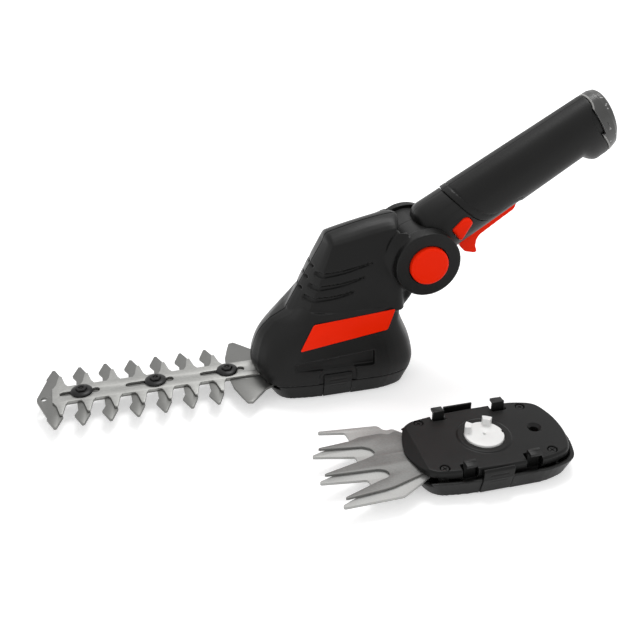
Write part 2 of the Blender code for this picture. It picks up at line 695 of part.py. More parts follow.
def ear(stations, side, count=24):
    """A turned shape about the pivot's axis from (distance along Y, radius) stations."""
    rings = []
    for y, radius in stations:
        rings.append([(PIVOT[0] + u, side * y, PIVOT[1] + v) for u, v in circle(0, 0, radius, count)])
    return loft(rings)


def vent_cutter(start, end, middle, side, parent=None):
    """A long slanted groove round the front corner, as deep as its cutter stands clear of a core."""
    slab = box((start - 18.0, 6.0, middle - VENT_HEIGHT / 2), (end, 45.0, middle + VENT_HEIGHT / 2))
    if side < 0:
        for vert in slab.verts:
            vert.co.y = -vert.co.y
    rotated(slab, -3.0, "Y", (start, 0.0, middle))
    tool = solid("vent_helper", slab)
    combine(tool, neck(VENT_DEPTH), "DIFFERENCE")
    return tool


def label_slab(side, grow, depth):
    """The slanted label plate's shape, or its pocket when grown."""
    middle_x = sum(x for x, _ in LABEL) / len(LABEL)
    middle_z = sum(z for _, z in LABEL) / len(LABEL)
    outline = [(x + math.copysign(grow, x - middle_x), z + math.copysign(grow, z - middle_z))
               for x, z in LABEL]
    shape = upright(plate([outline], LABEL_OFFSET - depth, LABEL_OFFSET + (5.0 if grow else 0.0)))
    rotated(shape, LABEL_LEAN, "X", (0.0, LABEL_OFFSET, middle_z - 8.0))
    for vert in shape.verts:
        vert.co.y = side * vert.co.y
    return shape


def finger_recess(side):
    """The dark wedge above the release tab, shallow at the front and deepest at the back."""
    shallow = [(-34.5, 37.0, 31.4), (-34.5, 37.0, 25.3), (-34.5, 33.0, 25.3), (-34.5, 32.0, 31.4)]
    deep = [(21.5, 38.0, 35.5), (21.5, 38.0, 24.0), (21.5, 31.2, 24.0), (21.5, 30.8, 35.5)]
    return loft([[(x, side * y, z) for x, y, z in ring] for ring in (shallow, deep)])


def head_shell(name, side, finish):
    """One half of the housing: skirt, upper housing, ear, ribs, screw posts and openings."""
    obj = solid(name, skirt(), finish)
    join(obj, neck())
    outer = EAR_OUTER if side < 0 else EAR_OUTER_FAR
    cheek = join(obj, ear(((EAR_INNER - 5.0, CHEEK_RADIUS), (EAR_INNER + 0.5, CHEEK_RADIUS),
                           (outer - 3.0, EAR_RADIUS - 0.4)), side))
    cut(cheek, box((PIVOT[0] - 7.0, -60.0, 0.0), (PIVOT[0] + 90.0, 60.0, 200.0)))
    join(obj, ear(((EAR_INNER - 4.0, EAR_RADIUS), (outer - 1.2, EAR_RADIUS), (outer, EAR_RADIUS - 1.2)), side))
    for hollow in (skirt(SHELL_WALL), neck(SHELL_WALL)):
        tool = cut(obj, hollow)
        cut(tool, handle_way(SHELL_WALL, EAR_INNER + 0.7))
    cut(obj, handle_way(0.0, EAR_INNER))
    ribs_and_posts(obj, side)
    pivot_holes(obj, side)
    openings(obj, side)
    combine(obj, half_space(side), "INTERSECT")
    return obj


def handle_way(grow, half):
    """The space between the ears for the handle's hub, and for its neck where that swings."""
    radius = WAY_RADIUS + grow
    high, low = math.radians(HANDLE_ANGLE + RAISE + 3.0), math.radians(HANDLE_ANGLE - LOWER - 3.0)
    above, below = WAY_ABOVE + grow, radius
    points = []
    for along in (90.0, 0.0):
        points.append((PIVOT[0] + along * math.cos(high) - above * math.sin(high),
                       PIVOT[1] + along * math.sin(high) + above * math.cos(high)))
    first, last = high + math.radians(105.0), low + math.radians(270.0)
    for i in range(9):
        angle = first + (last - first) * i / 8
        points.append((PIVOT[0] + radius * math.cos(angle), PIVOT[1] + radius * math.sin(angle)))
    points.append((PIVOT[0] + 90.0 * math.cos(low) + below * math.sin(low),
                   PIVOT[1] + 90.0 * math.sin(low) - below * math.cos(low)))
    return upright(plate([points], -half, half))


def ribs_and_posts(obj, side):
    for shelf in (LOWER_PLATE, UPPER_PLATE):
        reach = 32.8 if shelf == LOWER_PLATE else 30.7
        low, high = sorted((side * 18.5, side * reach))
        join(obj, box((-12.0, low, shelf - 3.0), (22.0, high, shelf - GAP)))
    low, high = sorted((side * 29.0, side * 31.8))
    join(obj, box((-16.5, low, HOOK_TOP + 0.9), (25.0, high, 37.6)))
    for start, end in LATCH_HOOKS:
        low, high = sorted((side * 29.2, side * 32.7))
        join(obj, box((start, low, COVER_TOP + GAP), (end, high, HOOK_TOP - 2.3)))
    for (x, z), depth in zip(HEAD_SCREWS, (30.5, 29.0, 23.5, 16.5)):
        low, high = sorted((0.0, side * depth))
        join(obj, moved(upright(plate([circle(0, 0, 4.6, 14)], low, high)), x, 0.0, z))
        if side < 0:
            cut(obj, moved(upright(plate([circle(0, 0, 1.55, 10)], -12.0, 1.0)), x, 0.0, z))
        else:
            cut(obj, moved(upright(plate([circle(0, 0, 1.55, 10)], -1.0, 14.0)), x, 0.0, z))
            cut(obj, moved(upright(plate([circle(0, 0, 3.1, 14)], SCREW_HEAD_Y, 45.0)), x, 0.0, z))


def pivot_holes(obj, side):
    low, high = sorted((side * 10.0, side * 40.0))
    cut(obj, moved(upright(rod(0, 0, PIN_RADIUS + GAP, low, high)), PIVOT[0], 0.0, PIVOT[1]))
    low, high = sorted((side * (EAR_FLOOR if side < 0 else EAR_FLOOR_FAR), side * 40.0))
    cut(obj, moved(upright(rod(0, 0, EAR_BORE, low, high, 28)), PIVOT[0], 0.0, PIVOT[1]))


def openings(obj, side):
    """The vents, label pocket, finger recess, latch gap and blade mouth."""
    for start, end, middle in VENTS:
        combine_object(obj, vent_cutter(start, end, middle, side), "DIFFERENCE")
    cut(obj, label_slab(side, GAP, LABEL_THICK + GAP))
    cut(obj, finger_recess(side))
    low, high = sorted((side * 33.0, side * 40.0))
    cut(obj, upright(plate([((-18.0, 20.0), (-15.5, 24.5), (-9.0, 27.6), (0.5, 28.6), (6.5, 26.0), (8.5, 22.0),
                             (8.5, 14.0), (-18.0, 14.0))], low, high)))
    low, high = sorted((side * 29.9, side * 40.0))
    cut(obj, box((LATCH_TAB[0] - 0.4, low, 5.0), (LATCH_TAB[1] + 0.4, high, LATCH_TOP + 0.4)))
    cut(obj, box((-80.0, -28.0, 5.0), (-MOUTH_BACK, 28.0, BLADE_TOP + 0.7)))


def head_screw(name, x, z, finish):
    y = SCREW_HEAD_Y + GAP
    profile = ((0.0, -10.0), (1.25, -10.0), (1.25, y), (2.8, y), (2.8, y + 2.0), (0.0, y + 2.0))
    solid(name, moved(upright(turned(profile, 12)), x, 0.0, z), finish, None, (x, 0.0, z))


# Drive train


def gear_plate(name, low, holes, finish):
    corners = ((-14.0, -21.0), (26.0, -21.0), (30.0, -14.0), (30.0, 14.0), (26.0, 21.0), (-14.0, 21.0),
               (-18.0, 14.0), (-18.0, -14.0))
    solid(name, plate([corners] + holes, low, low + PLATE_THICK), finish)


def drive_train(steel, brass, iron, nylon):
    gear_plate("gear_plate_lower", LOWER_PLATE, [circle(0, 0, 6.6), circle(IDLER_X, 0, 1.5 + GAP, 12)], iron)
    gear_plate("gear_plate_upper", UPPER_PLATE, [circle(MOTOR_X, 0, 5.3), circle(IDLER_X, 0, 1.5 + GAP, 12)],
               iron)
    solid("output_bush", tube(((4.3, 30.4), (6.3, 30.4), (6.3, LOWER_PLATE + PLATE_THICK + GAP),
                               (7.6, LOWER_PLATE + PLATE_THICK + GAP), (7.6, 37.8), (4.3, 37.8)), 20), brass)
    axle = moved(rod(0, 0, 1.5, LOWER_PLATE + 0.2, UPPER_PLATE + PLATE_THICK - 0.2, 12), IDLER_X)
    solid("idler_axle", axle, steel, None, (IDLER_X, 0.0, 0.0))
    idler = plate([gear_outline(IDLER_TEETH), circle(0, 0, 1.8, 12)], 44.8, 48.8)
    obj = solid("idler_gear", moved(idler, IDLER_X), nylon, None, (IDLER_X, 0.0, 0.0))
    pinion = plate([gear_outline(IDLER_PINION_TEETH), circle(0, 0, 1.8, 12)], 37.9, 45.6)
    join(obj, moved(pinion, IDLER_X))
    turn = math.pi / OUTPUT_TEETH
    solid("output_gear", plate([gear_outline(OUTPUT_TEETH, turn), circle(0, 0, 4.3, 16)], OUTPUT_LOW,
                               OUTPUT_HIGH), steel)
    spindle()
    motor_turn = math.pi / MOTOR_TEETH
    shape = plate([gear_outline(MOTOR_TEETH, motor_turn), circle(0, 0, 1.5, 10)], 44.6, 49.2)
    solid("motor_pinion", moved(shape, MOTOR_X), brass, None, (MOTOR_X, 0.0, 0.0))
    base = UPPER_PLATE + PLATE_THICK + GAP
    top = base + MOTOR_LENGTH
    shaft = moved(rod(0, 0, 1.2, 44.2, top - 6.4, 10), MOTOR_X)
    solid("motor_shaft", shaft, steel, None, (MOTOR_X, 0.0, 0.0))
    profile = ((0.0, top - 6.0), (1.5, top - 6.0), (1.5, UPPER_PLATE + 0.4), (5.0, UPPER_PLATE + 0.4),
               (5.0, base), (MOTOR_RADIUS, base), (MOTOR_RADIUS, top - 1.5), (MOTOR_RADIUS - 1.5, top),
               (0.0, top))
    solid("motor_can", moved(turned(profile), MOTOR_X), iron, None, (MOTOR_X, 0.0, 0.0))


def spindle():
    """The output spindle, whose disc has two notches for the hub's dogs."""
    disc_low = HUB_TOP + GAP
    profile = ((0.0, disc_low), (HUB_RADIUS + 1.0, disc_low), (HUB_RADIUS + 1.0, DOG_TOP + 1.0),
               (6.4, DOG_TOP + 1.6), (6.4, 30.1), (4.0, 30.1), (4.0, OUTPUT_HIGH + 0.2),
               (0.0, OUTPUT_HIGH + 0.2))
    obj = solid("output_spindle", turned(profile), LOOKS["white_nylon"])
    for middle in (60.0, 150.0):
        cut(obj, plate([dog_outline(middle, HUB_RADIUS - 4.5, HUB_RADIUS + 4.0, DOG_HALF_ANGLE + 2.0)],
                       disc_low - 1.0, DOG_TOP + GAP))


# Pivot


def pivot_parts(orange, steel, black):
    x, z = PIVOT
    near, far = -EAR_FLOOR + 0.2, EAR_FLOOR_FAR - 0.2
    bore = STEM_RADIUS + GAP
    pin = moved(upright(tube(((bore, near), (PIN_RADIUS, near), (PIN_RADIUS, far), (bore, far)))), x, 0.0, z)
    solid("pivot_pin", pin, steel, None, (x, 0.0, z))
    outer = EAR_OUTER + BUTTON_PROUD
    radius = EAR_BORE - 0.4
    # The stem stops short of the handle's hub, also when the button is pressed
    stem = HUB_HANDLE_HALF + BUTTON_TRAVEL + 0.4
    profile = ((0.0, -outer), (radius - 1.6, -outer), (radius - 0.5, -outer + 0.5), (radius, -outer + 1.7),
               (radius, -BUTTON_BACK), (STEM_RADIUS, -BUTTON_BACK), (STEM_RADIUS, -stem), (0.0, -stem))
    solid("pivot_button", moved(upright(turned(profile, 28)), x, 0.0, z), orange, None, (x, 0.0, z))
    spring = upright(coil(9.4, 0.45, 2.0, BUTTON_BACK - EAR_FLOOR - 2 * GAP))
    solid("pivot_spring", moved(spring, x, -BUTTON_BACK + GAP, z), steel, None, (x, 0.0, z))
    face = EAR_OUTER_FAR + 0.3
    profile = ((0.0, EAR_FLOOR_FAR + GAP), (radius, EAR_FLOOR_FAR + GAP), (radius, face - 0.8),
               (radius - 0.8, face), (0.0, face))
    cap = moved(upright(turned(profile, 28)), x, 0.0, z)
    obj = solid("pivot_cap", cap, black, None, (x, 0.0, z))
    join(obj, moved(upright(rod(0, 0, STEM_RADIUS, 12.0, EAR_FLOOR_FAR + 1.0, 14)), x, 0.0, z))


# Handle, in its own frame


def oval(s, high, wide, side=0, flat=SPLIT, count=24):
    """A ring across the handle, a little squarer than an ellipse. With a side it is the half on
    that side, closed by a flat at the given distance from the centre plane. The handle gets
    slimmer to its end, and every ring with it."""
    high, wide = high * slimmer(s), wide * slimmer(s)
    points = []
    steps = count if side == 0 else count // 2 + 1
    for i in range(steps):
        angle = 2 * math.pi * i / count - (math.pi / 2 if side else 0.0)
        along = wide * math.copysign(abs(math.cos(angle)) ** 0.94, math.cos(angle))
        up = high * math.copysign(abs(math.sin(angle)) ** 0.94, math.sin(angle))
        if side and i in (0, steps - 1):
            along = max(flat, 0.0)
        points.append((s, along * (side or 1), HANDLE_CENTRE + up))
    if side and flat < 0.0:
        points.append((s, side * flat, points[-1][2]))
        points.append((s, side * flat, points[0][2]))
    return points


def slimmer(s):
    return 1.0 - TAPER * max(0.0, s - 16.0)


def handle_body(high, wide, start, end, side=0, flat=SPLIT, count=24):
    return loft([oval(start, high, wide, side, flat, count), oval(end, high, wide, side, flat, count)])


def grip_region(shift):
    """The space that the soft grip may fill, bounded by its front edge and the end cap's edge."""
    edge = [(s + shift, n + shift * 0.6) for s, n in GRIP_EDGE]
    seam = [(s - shift, n) for s, n in CAP_EDGE]
    outline = [(edge[0][0] - 5.0, 45.0)] + edge + [(60.0, -60.0)] + seam[::-1]
    return upright(plate([outline], -60.0, 60.0))


def handle_shell(name, side, parent, finish):
    """One half of the hard handle: the pivot disc, the bare neck and the core under the grip."""
    rings = [oval(9.5, NECK_HEIGHT - 6.0, NECK_WIDTH - 3.0, side), oval(16.0, NECK_HEIGHT, NECK_WIDTH, side),
             oval(84.0, NECK_HEIGHT, NECK_WIDTH, side)]
    obj = solid(name, loft(rings), finish, parent)
    cut(obj, grip_region(-GAP))
    disc = [circle(0, 0, HUB_HANDLE_RADIUS, 32), circle(0, 0, PIN_RADIUS + GAP)]
    join(obj, upright(plate(disc, *sorted((side * SPLIT, side * HUB_HANDLE_HALF)))))
    join(obj, handle_body(CORE_HEIGHT, CORE_WIDTH, 30.0, CORE_END, side))
    cut(obj, handle_body(CORE_HEIGHT - HANDLE_WALL, CORE_WIDTH - HANDLE_WALL, 16.6, CORE_END + 5.0, side, -5.0))
    half = TRIGGER_HALF + 0.47
    cut(obj, box((24.5, -half, -40.0), (TRIGGER_AXIS[0] + 4.1, half, -6.2)))
    pin = upright(plate([circle(0, 0, 2.0, 12)], *sorted((side * SPLIT, side * (TRIGGER_HALF + 3.5)))))
    join(obj, moved(pin, TRIGGER_AXIS[0], 0.0, TRIGGER_AXIS[1]))
    for s, n in HANDLE_SCREWS:
        reach = CORE_WIDTH * slimmer(s) * 0.58
        post = upright(plate([circle(0, 0, 3.6, 12)], *sorted((side * SPLIT, side * reach))))
        join(obj, moved(post, s, 0.0, n))
        reach = (-9.0, 1.0) if side < 0 else (-1.0, 30.0)
        cut(obj, moved(upright(plate([circle(0, 0, 1.55, 10)], *reach)), s, 0.0, n))
        if side > 0:
            cut(obj, moved(upright(plate([circle(0, 0, 2.8, 12)], HANDLE_HEAD_Y, 30.0)), s, 0.0, n))
    if side < 0:
        cut(obj, upright(plate([grown(LOCK_SHAPE, GAP)], -30.0, -10.0)))
    return obj


def grown(outline, by):
    middle_x = sum(x for x, _ in outline) / len(outline)
    middle_y = sum(y for _, y in outline) / len(outline)
    points = []
    for x, y in outline:
        away = math.hypot(x - middle_x, y - middle_y)
        points.append((x + (x - middle_x) / away * by * 1.3, y + (y - middle_y) / away * by * 1.3))
    return points


def grip(name, side, parent, finish):
    """One half of the soft grip, with the heel that stops the hand at the back."""
    rings = [oval(28.0, GRIP_HEIGHT, GRIP_WIDTH, side)]
    rings += [heeled(ring, drop) for ring, drop in heel_rings(side)]
    obj = solid(name, loft(rings), finish, parent)
    cut(obj, handle_body(CORE_HEIGHT + GAP, CORE_WIDTH + GAP, 20.0, CAP_END, side, -5.0))
    combine(obj, grip_region(GAP), "INTERSECT")
    if side > 0:
        for s, n in HANDLE_SCREWS:
            cut(obj, moved(upright(plate([circle(0, 0, 2.8, 12)], HANDLE_HEAD_Y, 30.0)), s, 0.0, n))
    return obj


def heel_rings(side=0):
    """Rings over the handle's heel, each with the share of the heel's drop that it takes."""
    share = ((0.0, 0.0), (3.5, 0.55), (7.5, 0.95), (13.0, 1.0), (20.0, 0.97), (25.0, 0.7))
    return [(oval(HEEL_START + step, GRIP_HEIGHT, GRIP_WIDTH, side), HEEL_DROP * part) for step, part in share]


def heeled(ring, drop):
    """The ring with its underside drawn down, as at the handle's heel."""
    points = []
    for s, y, n in ring:
        low = max(0.0, (HANDLE_CENTRE - n) / (GRIP_HEIGHT * slimmer(s)))
        points.append((s, y, n - drop * low * low))
    return points


def end_cap(parent, finish):
    """The cap that closes the handle, with a lip inside the core and the charging slot."""
    rings = [heeled(ring, drop) for ring, drop in heel_rings()[2:]]
    for s, shrink, drop in ((CAP_END - 1.4, 1.8, 0.35), (CAP_END, 5.0, 0.1)):
        rings.append(heeled(oval(s, GRIP_HEIGHT - shrink, GRIP_WIDTH - shrink), HEEL_DROP * drop))
    obj = solid("end_cap", loft(rings), finish, parent)
    cut(obj, grip_region(-GAP))
    cut(obj, handle_body(CORE_HEIGHT + GAP, CORE_WIDTH + GAP, 130.0, CORE_END + GAP))
    inner = HANDLE_WALL + GAP
    join(obj, handle_body(CORE_HEIGHT - inner, CORE_WIDTH - inner, CORE_END - 4.0, CORE_END + 4.0))
    inner += 1.6
    cut(obj, handle_body(CORE_HEIGHT - inner, CORE_WIDTH - inner, CORE_END - 9.0, CORE_END + 2.6, count=20))
    cut(obj, box((CORE_END - 9.0, -25.0, -1.2), (CORE_END + 0.6, 25.0, 40.0)))
    cut(obj, box((CORE_END - 5.0, -3.2, -9.2), (CAP_END + 9.0, 3.2, -2.8)))
    return obj


def trigger(parent, finish):
    """The trigger: a hooked front, a long thin paddle, and an eye for its pivot at the back."""
    s, n = TRIGGER_AXIS
    outline = ((28.0, -11.5), (27.2, -20.0), (28.2, -24.4), (33.8, -30.0), (35.6, -30.0), (36.6, -25.2),
               (39.5, -21.4), (43.0, -19.5), (60.0, -18.4), (s - 4.4, -17.8), (s - 2.2, -16.8),
               (s - 1.0, -15.4), (s + 2.2, n - 2.8), (s + 3.6, n), (s + 2.2, n + 2.8), (s - 2.2, n + 2.8),
               (s - 5.0, n - 1.7), (44.0, -11.5))
    shape = upright(plate([outline, circle(s, n, 2.3, 12)], -TRIGGER_HALF, TRIGGER_HALF))
    solid("trigger", shape, finish, parent, (s, 0.0, n))


def trigger_parts(parent, finish, spring):
    """The switch above the trigger and the spring that pushes the trigger back down."""
    top = CELL_LEVEL - CELL_RADIUS - 0.9
    shape = box((44.0, -3.2, top - 6.9), (62.0, 3.2, top))
    obj = solid("trigger_switch", shape, finish, parent)
    join(obj, box((46.0, -1.2, top - 7.5), (49.0, 1.2, top - 5.0)))
    shape = moved(coil(2.4, 0.35, 3.0, 9.6), 34.5, 0.0, -11.2)
    solid("trigger_spring", shape, spring, parent)


def lock_off(parent, finish):
    """The lock-off slider in the handle's side, proud of the surface for the thumb."""
    outer = NECK_WIDTH + 1.6
    rings = [[(s, -outer, n) for s, n in grown(LOCK_SHAPE, -1.2)],
             [(s, -outer + 1.2, n) for s, n in LOCK_SHAPE],
             [(s, -13.6, n) for s, n in LOCK_SHAPE]]
    return solid("lock_off_button", loft(rings), finish, parent)


def handle_inside(parent, cell_wrap, board, socket_black, steel):
    start = 17.0
    for name in ("battery_cell_front", "battery_cell_rear"):
        profile = ((0.0, start), (CELL_RADIUS - 0.8, start), (CELL_RADIUS, start + 0.8),
                   (CELL_RADIUS, start + CELL_LENGTH - 0.8), (CELL_RADIUS - 0.8, start + CELL_LENGTH),
                   (3.0, start + CELL_LENGTH), (0.0, start + CELL_LENGTH))
        shape = rotated(turned(profile, 20), 90.0, "Y")
        solid(name, moved(shape, 0.0, 0.0, CELL_LEVEL), cell_wrap, parent)
        start += CELL_LENGTH + 0.5
    low = CELL_LEVEL - CELL_RADIUS - 3.0
    solid("charge_board", box((84.0, -10.0, low - 1.6), (118.0, 10.0, low)), board, parent)
    solid("charge_socket", box((CORE_END - 9.0, -2.9, -8.9), (CAP_END - 0.9, 2.9, -3.1)), socket_black, parent)
    for number, (s, n) in enumerate(HANDLE_SCREWS, 1):
        head = HANDLE_HEAD_Y + GAP
        profile = ((0.0, -8.0), (1.25, -8.0), (1.25, head), (2.5, head), (2.5, head + 1.6), (0.0, head + 1.6))
        solid(f"handle_screw_{number}", moved(upright(turned(profile, 12)), s, 0.0, n), steel, parent,
              (s, 0.0, n))


LOOKS = {}


def make_looks():
    LOOKS["housing_black"] = look("housing_black", (0.012, 0.012, 0.012), 0.5)
    LOOKS["grip_black"] = look("grip_black", (0.010, 0.010, 0.010), 0.75)
    LOOKS["orange"] = look("orange", (0.85, 0.05, 0.01), 0.4)
    LOOKS["cap_grey"] = look("cap_grey", (0.12, 0.12, 0.11), 0.5)
    LOOKS["blade_steel"] = look("blade_steel", (0.55, 0.55, 0.53), 0.35, 1.0)
    LOOKS["dark_steel"] = look("dark_steel", (0.28, 0.28, 0.27), 0.4, 1.0)
    LOOKS["white_nylon"] = look("white_nylon", (0.85, 0.85, 0.84), 0.45)
    LOOKS["brass"] = look("brass", (0.7, 0.5, 0.2), 0.35, 1.0)
    LOOKS["iron"] = look("iron", (0.3, 0.3, 0.31), 0.45, 1.0)
    LOOKS["cell_wrap"] = look("cell_wrap", (0.05, 0.25, 0.5), 0.4)
    LOOKS["board_green"] = look("board_green", (0.02, 0.2, 0.06), 0.5)
    LOOKS["screw_black"] = look("screw_black", (0.03, 0.03, 0.03), 0.4, 1.0)


def build_head():
    black = LOOKS["housing_black"]
    head_shell("head_shell_left", -1, black)
    head_shell("head_shell_right", 1, black)
    solid("label_plate_left", label_slab(-1, 0.0, LABEL_THICK), LOOKS["orange"])
    solid("label_plate_right", label_slab(1, 0.0, LABEL_THICK), LOOKS["orange"])
    for number, (x, z) in enumerate(HEAD_SCREWS, 1):
        head_screw(f"head_screw_{number}", x, z, LOOKS["screw_black"])
    drive_train(LOOKS["iron"], LOOKS["brass"], LOOKS["dark_steel"], LOOKS["white_nylon"])
    pivot_parts(LOOKS["orange"], LOOKS["iron"], black)


def build_handle():
    frame = empty("handle_pivot", (PIVOT[0], 0.0, PIVOT[1]), None, -HANDLE_ANGLE)
    black = LOOKS["housing_black"]
    handle_shell("handle_shell_left", -1, frame, black)
    handle_shell("handle_shell_right", 1, frame, black)
    grip("grip_left", -1, frame, LOOKS["grip_black"])
    grip("grip_right", 1, frame, LOOKS["grip_black"])
    end_cap(frame, LOOKS["cap_grey"])
    trigger(frame, LOOKS["orange"])
    trigger_parts(frame, LOOKS["screw_black"], LOOKS["iron"])
    lock_off(frame, LOOKS["orange"])
    handle_inside(frame, LOOKS["cell_wrap"], LOOKS["board_green"], black, LOOKS["screw_black"])


def build_shrub_cassette():
    place = empty("shrub_cassette_place", (0.0, 0.0, 0.0))
    black = LOOKS["housing_black"]
    tray("shrub_tray", place, black)
    cover("shrub_cover", place, black)
    latch("shrub_latch_left", place, -1, black)
    latch("shrub_latch_right", place, 1, black)
    hub("shrub_hub", place, 0.0, LOOKS["white_nylon"])
    shrub_fixed_blade(LOOKS["dark_steel"])
    shrub_moving_blade(LOOKS["blade_steel"])
    for number, x in enumerate(GUIDE_X, 1):
        shrub_guide(f"shrub_guide_{number}", x, LOOKS["screw_black"])


def build_grass_cassette():
    place = empty("grass_cassette_place", (*GRASS_PLACE, 0.0))
    black = LOOKS["housing_black"]
    obj = tray("grass_tray", place, black)
    join(obj, rod(*COMB_PIVOT, 5.2, TRAY_FLOOR - 0.5, BLADE_LEVEL - GAP, 16))
    cut(obj, rod(*COMB_PIVOT, COMB_PIN + GAP, TRAY_FLOOR, BLADE_LEVEL + 1.0, 14))
    cover("grass_cover", place, black)
    latch("grass_latch_left", place, -1, black)
    latch("grass_latch_right", place, 1, black)
    hub("grass_hub", place, -26.6, LOOKS["white_nylon"])
    grass_fixed_comb(place, LOOKS["blade_steel"])
    grass_moving_comb(place, LOOKS["dark_steel"])
    comb_pivot(place, LOOKS["iron"])
    corners = [(x, y) for x in (-COVER_SCREW_X, COVER_SCREW_X) for y in (-COVER_SCREW_Y, COVER_SCREW_Y)]
    for number, (x, y) in enumerate(corners, 1):
        cover_screw(f"grass_cover_screw_{number}", place, x, y, LOOKS["screw_black"])


def main():
    for obj in list(bpy.data.objects):
        bpy.data.objects.remove(obj, do_unlink=True)
    make_looks()
    build_head()
    build_handle()
    build_shrub_cassette()
    build_grass_cassette()


main()
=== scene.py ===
"""Looks of the cordless shrub shears and the loose grass head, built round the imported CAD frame.

Shapes are drawn in millimetres, in the same places as the CAD nodes that they stand for, and are
turned into metres when a piece is finished. +X runs to the handle, -Y is the side with the release
button, +Z is up.
"""

import json
import math

import bmesh
import bpy
from bpy.props import FloatProperty, FloatVectorProperty, IntProperty, PointerProperty
from mathutils import Matrix, Vector
from mathutils.geometry import tessellate_polygon


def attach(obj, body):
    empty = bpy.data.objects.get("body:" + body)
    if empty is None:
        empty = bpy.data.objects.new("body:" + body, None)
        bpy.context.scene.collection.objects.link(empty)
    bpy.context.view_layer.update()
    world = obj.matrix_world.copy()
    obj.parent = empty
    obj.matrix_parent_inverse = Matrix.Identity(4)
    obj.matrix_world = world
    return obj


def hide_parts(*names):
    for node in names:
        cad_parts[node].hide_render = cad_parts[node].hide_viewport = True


bl_info = {
    "name": "Cordless shrub shears",
    "version": (1, 0, 0),
    "blender": (4, 5, 0),
    "location": "View3D > Sidebar > Shears",
    "description": "Builds the looks of cordless shrub shears with a spare grass head",
    "category": "Object",
}

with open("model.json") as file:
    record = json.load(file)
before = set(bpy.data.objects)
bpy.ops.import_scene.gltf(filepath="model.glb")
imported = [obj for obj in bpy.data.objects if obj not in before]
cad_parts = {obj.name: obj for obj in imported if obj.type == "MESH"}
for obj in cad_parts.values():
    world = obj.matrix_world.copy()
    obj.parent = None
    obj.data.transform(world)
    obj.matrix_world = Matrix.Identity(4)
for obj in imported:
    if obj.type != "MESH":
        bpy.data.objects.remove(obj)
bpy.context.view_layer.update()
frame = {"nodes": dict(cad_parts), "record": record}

MM = 0.001
GAP = 0.3
SPLIT = 0.15
ROUND = 64

# Cutting head, about its hub's axis
HALF_LENGTH = 56.0
HALF_WIDTH = 33.5
TRAY_HEIGHT = 12.4
TRAY_FLOOR = 2.2
TRAY_WALL = 2.2
TRAY_UNDERCUT = 7.0
TRAY_DRAFT = 3.5
TRAY_REAR_DRAFT = 5.0
TRAY_RIBS = (-42.0, -25.5)
BLADE_LEVEL = 9.8
FIXED_BLADE = 1.8
MOVING_BLADE = 1.6
COVER_THICK = 4.7
COVER_INSET = 3.6
COVER_SCREW_X = 35.5
COVER_SCREW_Y = 23.0
COVER_POST = 3.4
COVER_PILOT = 1.6
LOCATING_HOLE = (34.5, 0.0, 2.9)
LOCATING_PIN = (-27.0, 13.0, 2.2)
MOUTH_BACK = 38.0
MOUTH_HALF = 27.5
HUB_RADIUS = 12.6
HUB_FLANGE = 2.0
HUB_TOP = 20.3
DOG_TOP = 25.0
DOG_HALF_ANGLE = 15.0
DOG_ANGLES = (60.0, 150.0)
CRANK = 4.5
CRANK_PIN = 3.0
COMB_PIVOT = (-34.0, 0.0)
COMB_PIN = 3.0
COMB_POST = 5.2
COMB_REST = math.asin(CRANK * math.sin(math.radians(26.6)) / -COMB_PIVOT[0])
GRASS_PLACE = (66.0, -122.0, 0.0)
MOVING_LEVEL = BLADE_LEVEL + FIXED_BLADE + GAP
BLADE_TOP = MOVING_LEVEL + MOVING_BLADE
COVER_LOW = BLADE_TOP + 0.4
COVER_TOP = COVER_LOW + COVER_THICK
LATCH_TAB = (-14.5, 5.5)
LATCH_HOOKS = ((-25.0, -17.0), (16.5, 25.0))
LATCH_RIBS = (8.6, 11.0, 13.4, 15.8)
LATCH_TOP = 20.3
HOOK_TOP = 23.5

# Shrub blade
PITCH = 18.0
TEETH = 7
FIRST_TIP = -196.5
TIP_HALF = 34.3
NOSE_X = -208.0
STRIP_HALF = 9.3
MOVING_TIP_HALF = 22.8
REST_OFFSET = 4.5
GUIDE_X = (-177.9, -127.5, -77.0)
GUIDE_BOSS = 2.2
SLOTS = ((-192.9, -165.6), (-148.3, -114.9), (-96.5, -64.6))

# Housing. The skirt's levels are (height, reach to the front, to the rear, to a side, share of the
# upper plan); a plan's points are (share of the reach, share of the half width below, and above)
PIVOT_HEIGHT = 94.5
SHELL_WALL = 2.8
POST_COVER = 1.8
RECESS_BACKING = 28.7
SKIRT_LEVELS = ((12.8, 57.0, 56.0, 34.0, 0.0), (20.0, 59.5, 57.0, 34.8, 0.1),
                (31.0, 58.0, 54.6, 34.2, 0.35), (44.0, 52.8, 49.0, 32.3, 0.8),
                (52.5, 45.0, 45.4, 30.8, 1.0), (58.5, 34.0, 46.2, 29.6, 0.35),
                (65.0, 27.5, 46.8, 28.2, 0.35))
SKIRT_STEPS = 4
PLAN = ((-0.96, 0.39, 0.20), (-0.87, 0.76, 0.42), (-0.78, 0.87, 0.64), (-0.66, 0.915, 0.86),
        (-0.27, 0.985, 0.99), (0.18, 1.0, 1.0), (0.68, 0.955, 0.985), (0.875, 0.81, 0.88),
        (0.973, 0.42, 0.5))
NECK_LOW = 60.0
NECK_NOSE = -33.6
NECK_HALF = 27.3
NECK_REAR = 48.0
TOP_NOSE = (-6.9, 107.5)
TOP_REAR = (45.0, 118.2)
TOP_HALF = 14.2
CROWN = 2.0
ROOF_BOW = 4.2
REAR_BRACE = ((48.0, 44.0, 14.0), (56.0, 46.6, 18.0), (66.5, 51.4, 21.5), (73.0, 54.5, 21.5),
              (77.0, 50.0, 20.8))
REAR_BRACE_START = 36.0
CHEEK_TOP = PIVOT_HEIGHT + 21.5
SEAM_HALF = 0.45
SEAM_DEPTH = 0.6
VENTS = ((-14.0, 20.0, 88.4), (-18.5, 13.5, 79.8), (-22.5, 6.0, 71.8))
